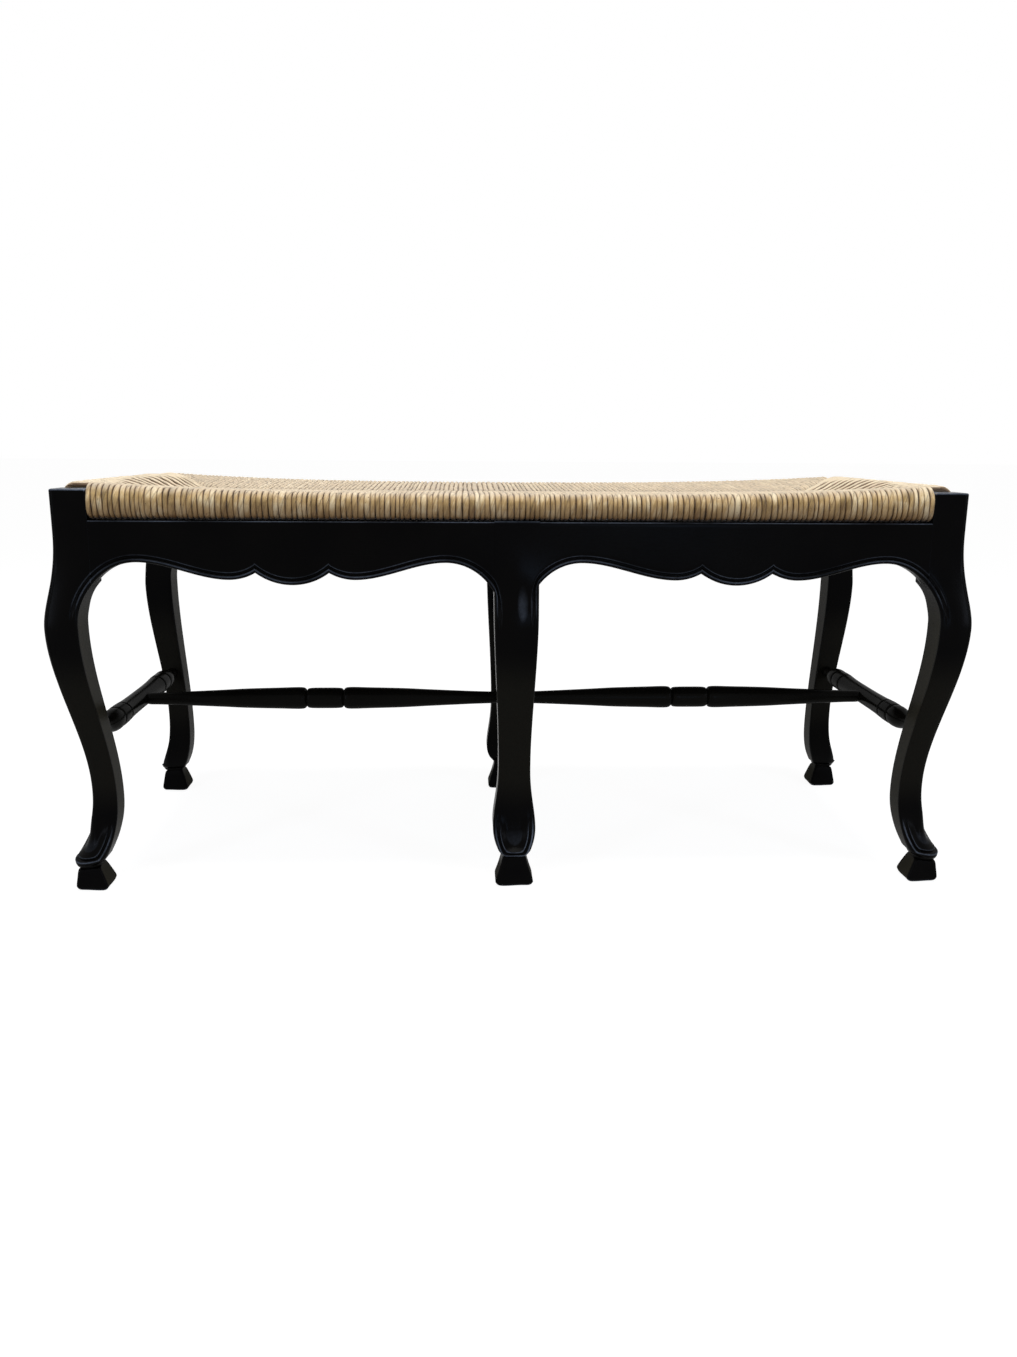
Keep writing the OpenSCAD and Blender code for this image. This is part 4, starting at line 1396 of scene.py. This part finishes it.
    def build(
        self, long_material: bpy.types.Material, end_material: bpy.types.Material
    ) -> list[bpy.types.Object]:
        """Builds the six aprons.

        Args:
            long_material: finish with its grain along x.
            end_material: finish with its grain along y.

        Returns:
            The six pieces.
        """
        s = self.sizes
        end_crown = s.post_in_y - s.crown_run
        end_board = self.board(
            [-s.post_in_y, -end_crown, 0.0, end_crown, s.post_in_y],
            lambda x: self.end_edge(np.abs(x), end_crown),
            lambda x: np.abs(x) - end_crown,
            s.half_length,
        ).quarter_turned()
        long_boards = [self.long_board(run) for run in s.middle_runs]
        pieces = []
        for row, in_y in (("front", True), ("rear", False)):
            for where, in_x, long_board in (
                ("left", True, long_boards[0]), ("right", False, long_boards[1])
            ):
                piece = long_board.mirrored(in_x, in_y).build(f"moulded_apron_{row}_{where}", long_material)
                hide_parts(f"apron_{row}_{where}")
                pieces.append(piece)
        for where, in_x in (("left", True), ("right", False)):
            piece = end_board.mirrored(in_x, False).build(f"moulded_apron_end_{where}", end_material)
            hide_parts(f"apron_end_{where}")
            pieces.append(piece)
        return pieces


@dataclass
class TurnedStretchers:
    """Stretchers turned on a lathe: three across the bench with rings and balls, and two along
    it with a barrel between grooves and long tapers."""

    sizes: BenchSizes
    curve: LegCurve
    around: int = 48
    cross_radius: float = 12.5
    ball_radius: float = 14.1
    groove_radius: float = 10.6
    inner_groove: float = 76.0
    outer_groove: float = 103.0
    swell_radius: float = 15.0
    tip_radius: float = 8.1
    barrel_half: float = 25.0

    def lathe(self, half: Array) -> Surface:
        """Turns a half outline, mirrored about its middle, into a surface round the x axis.

        Args:
            half: rows of distance from the middle and radius.

        Returns:
            The closed surface, with a value for the painted highlight and scuffing and a value for the
            olive tone and painted reflection.
        """
        outline = np.concatenate([half[:0:-1] * np.array([-1.0, 1.0]), half])
        turn = np.linspace(0, 2 * math.pi, self.around, endpoint=False)[None, :]
        along, radius = outline[:, :1], outline[:, 1:]
        rings = np.stack([along + 0 * turn, radius * np.cos(turn), radius * np.sin(turn)], axis=-1)
        edge = np.abs(np.gradient(np.gradient(outline[:, 1])))
        worn_and_lit = np.clip(edge[:, None] * 0.6, 0, 0.26) + 0 * turn
        return closed_loft(rings, {"wear_and_highlight": worn_and_lit, "thin_and_reflection": 0.15 + 0 * worn_and_lit})

    def cross_outline(self, stop: float) -> Array:
        """Half outline of a cross stretcher, out to its end inside the leg."""
        g1, g2, ball, groove = self.inner_groove, self.outer_groove, self.ball_radius, self.groove_radius
        rows = [[0, 12.4], [30, 12.5], [55, 12.9], [70, 13.5], [g1 - 2.6, 13.7], [g1 - 1.3, 12.9]]
        rows += [[g1, groove], [g1 + 1.3, 12.9], [g1 + 2.8, ball - 0.2], [g1 + 9, ball], [g2 - 9, ball]]
        rows += [[g2 - 2.8, ball - 0.2], [g2 - 1.3, 12.9], [g2, groove], [g2 + 1.3, 12.9]]
        rows += [[g2 + 3, ball - 0.2], [g2 + 10, ball], [g2 + 19, 13.2], [g2 + 28, 11.0], [g2 + 36, 8.9]]
        rows += [[g2 + 43, 8.0], [stop - 4, 7.9], [stop + 4, 6.6]]
        return smooth_through(np.array(rows, float), 4)

    def long_outline(self, stop: float) -> Array:
        """Half outline of a long stretcher, out to its end inside the cross stretcher."""
        g, swell, tip = self.barrel_half, self.swell_radius, self.tip_radius
        rows = [
            [0, 14.2], [10, 14.2], [18, 14.0], [g - 3, 13.5], [g - 1.4, 12.7], [g, 11.1], [g + 1.4, 12.9]
        ]
        rows += [[g + 3.4, 14.3], [g + 8, swell], [g + 18, swell], [g + 34, swell - 0.5]]
        taper = [(0.35, 0.24), (0.5, 0.46), (0.65, 0.66), (0.8, 0.85), (0.92, 0.97)]
        rows += [[mix(g + 8, stop, t), mix(swell, tip, share)] for t, share in taper]
        rows += [[stop - 1, tip - 0.1], [stop + 3, tip - 2.0]]
        return smooth_through(np.array(rows, float), 4)

    def build(
        self, cross_material: bpy.types.Material, long_material: bpy.types.Material
    ) -> list[bpy.types.Object]:
        """Builds the five stretchers.

        Args:
            cross_material: finish with its grain along y.
            long_material: finish with its grain along x.

        Returns:
            The five pieces.
        """
        s = self.sizes
        z = np.array(s.stretcher_height)
        inside, outside = float(self.curve.inner(z)), float(self.curve.outer(z))
        cross_x = (s.post_in_x + inside + s.half_length + outside) / 2
        cross = self.lathe(self.cross_outline(s.post_in_y + inside)).quarter_turned()
        span = (cross_x - 2 * self.cross_radius) / 2
        long = self.lathe(self.long_outline(span))
        pieces = []
        for where, x in (("left", -cross_x), ("middle", 0.0), ("right", cross_x)):
            piece = cross.moved(x, 0, s.stretcher_height).build(f"turned_cross_{where}", cross_material)
            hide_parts(f"cross_stretcher_{where}")
            pieces.append(piece)
        for where, x in (("left", -cross_x / 2), ("right", cross_x / 2)):
            piece = long.moved(x, 0, s.stretcher_height).build(f"turned_long_{where}", long_material)
            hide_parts(f"long_stretcher_{where}")
            pieces.append(piece)
        return pieces


@dataclass(frozen=True)
class SeatShape:
    """Upper surface of the rush: a rolled edge, a dished middle and a mound at each end."""

    sizes: BenchSizes
    roll_height: float = 30.5
    roll_rise: float = 10.5
    mound_rise: float = 4.0
    seat_dip: float = 5.0
    seam_dip: float = 3.0
    seam_run: float = 102.0
    roll_reach: float = 16.0

    @property
    def roll_y(self) -> float:
        """Distance from the middle to the axis of the front roll."""
        return self.sizes.half_depth + 1 - self.roll_reach

    @property
    def roll_x(self) -> float:
        """Distance from the middle to the axis of an end roll."""
        return self.sizes.half_length + 1 - self.roll_reach

    @property
    def bottom(self) -> float:
        """Height of the underside of the rush."""
        return self.sizes.apron_top + 0.3

    def top(self, x: Array, y: Array) -> Array:
        """Height of the rush at x and y.

        The roll's crest rises toward the posts by the cube of x, the middle hangs by a power
        of the way in from the roll, the ends rise to a mound, and the mitred seams sink in.

        Args:
            x: way along the bench.
            y: way across it.

        Returns:
            Height of the top surface.
        """
        s = self.sizes
        middle = s.apron_top + self.roll_height
        crest = middle + self.roll_rise * np.minimum(1, np.abs(x) / s.post_in_x) ** 3
        roll = crest - (crest - middle + self.seat_dip) * np.clip(1 - np.abs(y) / self.roll_y, 0, 1) ** 1.5
        t = (s.post_in_x - np.abs(x)) / self.seam_run
        mound = middle + self.roll_rise + self.mound_rise * (1 - ((np.maximum(0, t) - 0.3) / 0.3) ** 2)
        q = (s.post_in_y - np.abs(y)) / s.post_in_y - t
        seam = self.seam_dip * (1 - ease(np.abs(q) / 0.12)) * ease((1.15 - t) / 0.15)
        return mix(roll, mound, ease(q / 0.4)) - seam


@dataclass
class RushWeave:
    """The woven rush: strands from the rolled edges to the mitred seams and the middle line,
    wrapped under the rails, over a dark body of packed rush."""

    sizes: BenchSizes
    shape: SeatShape
    strand_mm: float = 6.2
    end_strand_mm: float = 9.0
    strand_height: float = 3.5
    sides: int = 12
    twist_mm: float = 54.0
    nose_power: float = 3.2
    section_power: float = 2.6
    width_spread: float = 0.14
    tone_mean: float = 0.6
    tone_spread: float = 0.12
    end_tone: float = 0.42
    seam_overlap: float = 2.5
    seam_sink: float = 9.0
    # Painted shade where the strands dip into the seams: its length, its darkening of tone and of the
    # strand sides.
    seam_shade_mm: float = 11.0
    seam_shade_tone: float = 0.9
    seam_shade_flank: float = 0.62
    body_depth: float = 1.6
    body_lift: float = 2.6
    crease_deg: float = 80.0
    seed: int = 41

    def spacing(self, total: float, pitch: float, rng: np.random.Generator) -> tuple[Array, Array]:
        """Uneven places of strands side by side.

        Args:
            total: width that they fill.
            pitch: mean width of a strand.
            rng: source of the unevenness.

        Returns:
            Centre and width of each strand, counted from the start.
        """
        count = int(round(total / pitch))
        width = np.clip(1 + self.width_spread * rng.standard_normal(count), 0.7, 1.4)
        width = width * total / width.sum()
        return np.cumsum(width) - width / 2, width

    def strands(
        self, paths: Array, across: Array, width: Array, rubbed_patch_and_lit_top: Array, rng: np.random.Generator
    ) -> Surface:
        """Twisted strands as closed tubes.

        The section is an oval, a little squared, whose width wanders and whose radius ripples
        with the twist. It shrinks to almost nothing at both ends of the path.

        Args:
            paths: strand, ring, coordinate.
            across: unit direction along the rail.
            width: width of each strand.
            rubbed_patch_and_lit_top: share of the painted light top, strand and ring, 1 on the top of the
                seat.
            rng: source of the unevenness.

        Returns:
            The joined tubes with the values lay and tone, and the shares of the painted light top and of
            the painted shade along the sides of each strand.
        """
        count, rings = paths.shape[:2]
        step = np.linalg.norm(np.diff(paths, axis=1), axis=-1)
        along = np.concatenate([np.zeros((count, 1)), np.cumsum(step, axis=1)], axis=1)
        ahead = np.gradient(paths, axis=1)
        ahead /= np.linalg.norm(ahead, axis=-1, keepdims=True)
        outward = np.cross(np.broadcast_to(across, ahead.shape), ahead)
        phase = rng.uniform(0, 2 * math.pi, (count, 4, 1))
        wave = 0.06 * np.sin(along / 7.5 + phase[:, 0]) + 0.05 * np.sin(along / 13.0 + phase[:, 1])
        sway = 0.45 * np.sin(along / 19.0 + phase[:, 2]) + 0.3 * np.sin(along / 8.3 + phase[:, 3])
        ends = np.clip(np.minimum(np.arange(rings), np.arange(rings)[::-1]) / 1.6, 0.02, 1)[None, :] ** 0.5
        turn = np.linspace(0, 2 * math.pi, self.sides, endpoint=False)[None, None, :]
        pitch = self.twist_mm * rng.uniform(0.75, 1.4, (count, 1))
        spiral = turn - (2 * math.pi * along / pitch + phase[:, 0])[..., None]
        ripple = 1 + 0.05 * np.cos(2 * spiral) + 0.02 * np.cos(3 * spiral + 1)
        cosine, sine = np.cos(turn), np.sin(turn)
        power = self.section_power
        squared = (np.abs(cosine) ** power + np.abs(sine) ** power) ** (-1 / power)
        half = (width[:, None] * 0.5 * (1 + wave) * ends)[..., None]
        tall = (self.strand_height * (1 + 0.6 * wave[..., ::-1]) * ends)[..., None]
        side = half * cosine * squared * ripple + sway[..., None] * ends[..., None] * 0.6
        rise = tall * sine * squared * ripple
        points = paths[:, :, None, :] + side[..., None] * across + rise[..., None] * outward[:, :, None, :]
        everywhere = np.zeros((count, rings, self.sides))
        # Painted shade: each strand darkens in tone and along its sides where it dips into the seam.
        seam_shaded = np.exp(-along / self.seam_shade_mm)[..., None]
        own_tone = self.tone_mean + self.tone_spread * rng.standard_normal((count, 1, 1))
        tone = np.clip(own_tone, 0.2, 0.84) + everywhere - self.seam_shade_tone * seam_shaded
        gone = (along + 37 * phase[:, 1])[..., None] + 0 * spiral
        lay = np.stack([np.cos(spiral), np.sin(spiral), gone], axis=-1)
        worn_and_lit = rubbed_patch_and_lit_top[..., None] + everywhere
        flank_shade = np.abs(cosine) + self.seam_shade_flank * seam_shaded + everywhere
        return Surface.joined(
            [
                closed_loft(
                    points[i], {"lay": lay[i], "tone": tone[i], "rubbed_patch_and_lit_top": worn_and_lit[i], "flank_shade": flank_shade[i]}
                )
                for i in range(count)
            ]
        )

    def wrap(
        self, start: Array, axis: float, height: Callable[[Array], Array]
    ) -> tuple[Array, Array, Array]:
        """Path of a strand across the seat, in the plane across the rail.

        It rises out of the seam, follows the top surface to the roll, goes round the roll as
        an ellipse above and a squarer curve below, and returns along the underside to the seam.

        Args:
            start: way of each strand's seam from the middle.
            axis: way of the roll's axis from the middle.
            height: top surface at ways out from the middle, strand by station.

        Returns:
            Ways out, heights and the share that lies on top and is painted lighter, each strand by ring.
        """
        s, lift = self.shape, self.strand_height
        t = (np.arange(48) / 48)[None, :]
        out = mix(start[:, None] - self.seam_overlap, axis, t)
        sink = self.seam_sink * np.exp(-(out - start[:, None] + self.seam_overlap) / 2.6)
        over = height(out) - lift - sink
        crest = height(np.full((len(start), 1), axis)) - lift
        floor = s.bottom + lift
        turn = np.radians(np.linspace(90, -90, 19))[None, :]
        square = np.where(turn < 0, 2 / self.nose_power, 1.0)
        nose_out = axis + (s.roll_reach - lift) * np.cos(turn) ** square + 0 * crest
        nose_high = (crest + floor) / 2 + (
            crest - floor
        ) / 2 * np.sign(turn) * np.abs(np.sin(turn)) ** square
        back = mix(axis, start[:, None] - self.seam_overlap, (np.arange(1, 13) / 12)[None, :])
        rise = self.seam_sink * np.exp(-(back - start[:, None] + self.seam_overlap) / 4.0)
        ways = np.concatenate([out, nose_out, back], axis=1)
        highs = np.concatenate([over, nose_high, floor + rise], axis=1)
        # Painted light: the lighter top share fades out round the nose of the roll.
        nose_lit_top = rising(np.degrees(turn), 25, 55) + 0 * nose_out
        on_lit_top = np.concatenate([np.ones_like(out), nose_lit_top, np.zeros_like(back)], axis=1)
        return ways, highs, on_lit_top

    def long_side(self, rng: np.random.Generator) -> list[Surface]:
        """Strands over the rail along the bench, on the side where y is positive.

        Args:
            rng: source of the unevenness.

        Returns:
            The left and the right half of the strands.
        """
        s = self.sizes
        x, width = self.spacing(2 * s.post_in_x, self.strand_mm, rng)
        x = x - s.post_in_x
        seam = np.clip(1 - (s.post_in_x - np.abs(x)) / self.shape.seam_run, 0, 1) * s.post_in_y
        start = np.where(seam > 0, seam, 0.0)
        y, z, on_lit_top = self.wrap(start, self.shape.roll_y, lambda out: self.shape.top(x[:, None], out))
        paths = np.stack([x[:, None] + 0 * y, y, z], axis=-1)
        across = np.array([1.0, 0.0, 0.0])
        return [
            self.strands(paths[chosen], across, width[chosen], on_lit_top[chosen], rng)
            for chosen in (x < 0, x >= 0)
        ]

    def end_side(self, rng: np.random.Generator) -> Surface:
        """Strands over the rail at the end where x is positive.

        Args:
            rng: source of the unevenness.

        Returns:
            The strands, joined.
        """
        s = self.sizes
        y, width = self.spacing(2 * s.post_in_y, self.end_strand_mm, rng)
        y = y - s.post_in_y
        start = s.post_in_x - self.shape.seam_run * (1 - np.abs(y) / s.post_in_y)
        x, z, on_lit_top = self.wrap(start, self.shape.roll_x, lambda out: self.shape.top(out, y[:, None]))
        paths = np.stack([x, y[:, None] + 0 * x, z], axis=-1)
        woven = self.strands(paths, np.array([0.0, -1.0, 0.0]), width, on_lit_top, rng)
        woven.values["tone"] = woven.values["tone"] + self.end_tone
        return woven

    def body(self) -> Surface:
        """Packed rush under the strands: sections across the bench, and one along it at each end,
        each set in from the surface of the seat."""
        s, shape, inset = self.sizes, self.shape, self.strand_height + self.body_depth
        reach = shape.roll_reach - inset
        low = shape.bottom + self.body_lift
        turn = np.radians(np.linspace(90, -90, 9))
        x = np.linspace(-s.post_in_x + 1, s.post_in_x - 1, 97)[:, None]
        y_top = np.linspace(-shape.roll_y, shape.roll_y, 41)[None, :]
        top = shape.top(x, y_top) - inset
        crest = (top[:, :1] + low) / 2, (top[:, :1] - low) / 2
        nose = shape.roll_y + reach * np.cos(turn[1:-1])[None, :]
        high = crest[0] + crest[1] * np.sin(turn[1:-1])[None, :]
        y_low = np.linspace(shape.roll_y, -shape.roll_y, 13)[None, :]
        ways = np.concatenate([y_top + 0 * x, nose + 0 * x, y_low + 0 * x, -nose[:, ::-1] + 0 * x], axis=1)
        highs = np.concatenate([top, high, low + 0 * y_low + 0 * x, high[:, ::-1]], axis=1)
        main = np.stack([x + 0 * ways, ways, highs], axis=-1)[:, ::-1]
        parts = [closed_loft(main)]
        y = np.linspace(-s.post_in_y + 1, s.post_in_y - 1, 33)[:, None]
        x_top = np.linspace(s.post_in_x - 30, shape.roll_x, 15)[None, :]
        top = shape.top(x_top, y) - inset
        mid, half = (top[:, -1:] + low) / 2, (top[:, -1:] - low) / 2
        nose = shape.roll_x + reach * np.cos(turn[1:])[None, :]
        ways = np.concatenate([x_top + 0 * y, nose + 0 * y, x_top[:, :1] + 0 * y], axis=1)
        highs = np.concatenate([top, mid + half * np.sin(turn[1:])[None, :], low + 0 * y], axis=1)
        end = closed_loft(np.stack([ways, y + 0 * ways, highs], axis=-1))
        parts += [end, end.mirrored(True, False)]
        return Surface.joined(parts)

    def build(
        self, strand_material: bpy.types.Material, body_material: bpy.types.Material
    ) -> list[bpy.types.Object]:
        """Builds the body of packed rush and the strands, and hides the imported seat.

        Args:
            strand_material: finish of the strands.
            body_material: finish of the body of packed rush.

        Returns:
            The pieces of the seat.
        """
        rng = np.random.default_rng(self.seed)
        core = self.body().build("rush_body", body_material)
        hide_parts("rush_seat", "rush_padding")
        pieces = [core]
        for row, in_y in (("front", True), ("rear", False)):
            for where, half in zip(("left", "right"), self.long_side(rng)):
                woven = half.mirrored(False, in_y)
                pieces.append(woven.build(f"rush_strands_{row}_{where}", strand_material, self.crease_deg))
        for where, in_x in (("left", True), ("right", False)):
            woven = self.end_side(rng).mirrored(in_x, False)
            pieces.append(woven.build(f"rush_strands_end_{where}", strand_material, self.crease_deg))
        return pieces


@dataclass(frozen=True)
class Softbox:
    """A soft studio lamp: where it stands, what it faces, its size, light and tint."""

    name: str
    place: tuple[float, float, float]
    target: tuple[float, float, float]
    size: tuple[float, float]
    watts: float
    tint: str = "#ffffff"

    def light(self) -> bpy.types.Object:
        """Adds the lamp to the scene and returns it."""
        data = bpy.data.lights.new(self.name, "AREA")
        data.shape = "RECTANGLE"
        data.size, data.size_y = self.size
        data.energy = self.watts
        data.color = linear_colour(self.tint)[:3]
        lamp = bpy.data.objects.new(self.name, data)
        away = Vector(self.place) - Vector(self.target)
        lamp.matrix_world = Matrix.Translation(
            self.place
        ) @ away.to_track_quat("Z", "Y").to_matrix().to_4x4()
        bpy.context.scene.collection.objects.link(lamp)
        return lamp


@dataclass
class Studio:
    """Camera, lamps, pale floor and white surround."""

    camera_place: tuple[float, float, float] = (-61.0, -1397.0, 533.4)
    yaw: float = 2.50
    pitch: float = 12.765
    roll: float = -0.40
    focal_share: float = 1040.0 / 1357.0
    floor_half: float = 30.0
    floor_glow: float = 0.93
    fill_strength: float = 0.28

    def camera(self) -> bpy.types.Object:
        """Adds the camera: it looks along y, turned right by yaw, down by pitch, then rolled.

        Returns:
            The camera.
        """
        yaw, pitch, roll = np.radians([self.yaw, self.pitch, self.roll])
        ahead = np.array([np.sin(yaw) * np.cos(pitch), np.cos(yaw) * np.cos(pitch), -np.sin(pitch)])
        right = np.array([np.cos(yaw), -np.sin(yaw), 0.0])
        down = np.cross(ahead, right)
        across = np.cos(roll) * right + np.sin(roll) * down
        below = -np.sin(roll) * right + np.cos(roll) * down
        data = bpy.data.cameras.new("camera")
        data.sensor_width = 36.0
        data.lens = 36.0 * self.focal_share
        data.clip_end = 100.0
        camera = bpy.data.objects.new("camera", data)
        place = np.array(self.camera_place) * MM
        camera.matrix_world = Matrix(
            [[across[i], -below[i], -ahead[i], place[i]] for i in range(3)] + [[0.0, 0.0, 0.0, 1.0]]
        )
        bpy.context.scene.collection.objects.link(camera)
        bpy.context.scene.camera = camera
        return camera

    def seen_directly(self, tree: bpy.types.NodeTree) -> bpy.types.NodeSocket:
        """1 for camera, glossy and transmission rays, which see the background, and 0 for the rest."""
        path = add_node(tree, "ShaderNodeLightPath")
        seen = path.outputs["Is Camera Ray"]
        for kind in ("Is Glossy Ray", "Is Transmission Ray"):
            links = {0: seen, 1: path.outputs[kind]}
            seen = add_node(tree, "ShaderNodeMath", {"operation": "MAXIMUM"}, links).outputs[0]
        return seen

    def surround(self) -> None:
        """Sets the world: white where it is seen, and a dim even fill where it lights."""
        world = bpy.data.worlds.new("surround")
        bpy.context.scene.world = world
        world.use_nodes = True
        tree = world.node_tree
        tree.nodes.clear()
        fill = add_node(
            tree, "ShaderNodeBackground", {"Color": (1, 1, 1, 1), "Strength": self.fill_strength}
        ).outputs[0]
        white = add_node(tree, "ShaderNodeBackground", {"Color": (1, 1, 1, 1), "Strength": 1.0}).outputs[0]
        links = {0: self.seen_directly(tree), 1: fill, 2: white}
        both = add_node(tree, "ShaderNodeMixShader", None, links).outputs[0]
        add_node(tree, "ShaderNodeOutputWorld", None, {"Surface": both})

    def floor(self) -> bpy.types.Object:
        """Adds the floor: pale and matte, lifted to white where it is seen, with the shadow kept.

        Returns:
            The floor.
        """
        material, tree = new_material("pale_floor")
        matte = add_node(tree, "ShaderNodeBsdfDiffuse", {"Color": linear_colour("#ececec")}).outputs[0]
        shadow = add_node(tree, "ShaderNodeBsdfDiffuse", {"Color": (0.2, 0.2, 0.2, 1)}).outputs[0]
        glow = add_node(
            tree, "ShaderNodeEmission", {"Color": (1, 1, 1, 1), "Strength": self.floor_glow}
        ).outputs[0]
        lifted = add_node(tree, "ShaderNodeAddShader", None, {0: shadow, 1: glow}).outputs[0]
        links = {0: self.seen_directly(tree), 1: matte, 2: lifted}
        both = add_node(tree, "ShaderNodeMixShader", None, links).outputs[0]
        add_node(tree, "ShaderNodeOutputMaterial", None, {"Surface": both})
        h = self.floor_half / MM
        corners = np.array([[-h, -h, 0.0], [h, -h, 0.0], [h, h, 0.0], [-h, h, 0.0]])
        floor = Surface(corners, [np.array([[0, 1, 2, 3]])]).build("floor", material)
        return floor

    def lamps(self) -> list[bpy.types.Object]:
        """Adds the lamps: one overhead, two tall windows at the front corners and a small one in front."""
        boxes = [
            Softbox("overhead", (0.0, -0.35, 2.3), (0.0, 0.0, 0.4), (1.8, 0.6), 41.0, "#fffdf8"),
            Softbox("window_left", (-1.9, -1.9, 1.0), (-0.2, -0.1, 0.4), (0.35, 1.5), 13.0, "#dfeaff"),
            Softbox("window_right", (2.0, -1.8, 1.0), (0.2, -0.1, 0.4), (0.35, 1.5), 13.0, "#dfeaff"),
            Softbox("lamp_front", (0.6, -2.7, 0.6), (0.0, -0.2, 0.35), (0.5, 0.5), 5.0, "#aed1ff"),
        ]
        return [box.light() for box in boxes]

    def build(self) -> None:
        """Sets the view settings and adds everything of the studio."""
        bpy.context.scene.view_settings.view_transform = "Standard"
        self.camera()
        self.surround()
        self.floor()
        self.lamps()


def dress_hidden_wood(nodes: dict[str, bpy.types.Object], sizes: BenchSizes) -> None:
    """Gives the rails and the brace their materials.

    Args:
        nodes: the CAD nodes by name.
        sizes: sizes of the bench; not used.
    """
    along_x, along_y = BareBeech(Grain.ALONG_X).material(), BareBeech(Grain.ALONG_Y).material()
    for name, material in {
        "seat_rail_front": along_x,
        "seat_rail_rear": along_x,
        "seat_rail_left": along_y,
        "seat_rail_right": along_y,
        "seat_brace_middle": along_y,
    }.items():
        node = nodes[name]
        node.data.materials.clear()
        node.data.materials.append(material)
        log.info("dressed %s", name)


def main() -> None:
    """Builds the bench and the studio."""
    logging.basicConfig(level=logging.INFO, format="%(message)s")
    sizes = BenchSizes()
    curve = LegCurve(sizes)
    moulding = Moulding(sizes)
    lacquer = {grain: EbonisedLacquer(grain).material() for grain in Grain}
    wood = CabrioleLegs(sizes, curve, moulding).build(lacquer[Grain.ALONG_Z])
    wood += ScallopedAprons(sizes, curve, moulding).build(lacquer[Grain.ALONG_X], lacquer[Grain.ALONG_Y])
    wood += TurnedStretchers(sizes, curve).build(lacquer[Grain.ALONG_Y], lacquer[Grain.ALONG_X])
    rush = RushWeave(sizes, SeatShape(sizes)).build(TwistedRush().material(), LooseRush().material())
    for piece, slot in [(p, "ebonised_wood") for p in wood] + [(p, "rush") for p in rush]:
        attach(piece, "root")
        log.info("%s: %d points, %d faces", piece.name, len(piece.data.vertices), len(piece.data.polygons))
    dress_hidden_wood(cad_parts, sizes)
    Studio().build()
    bpy.context.view_layer.update()


if __name__ == "__main__":
    main()
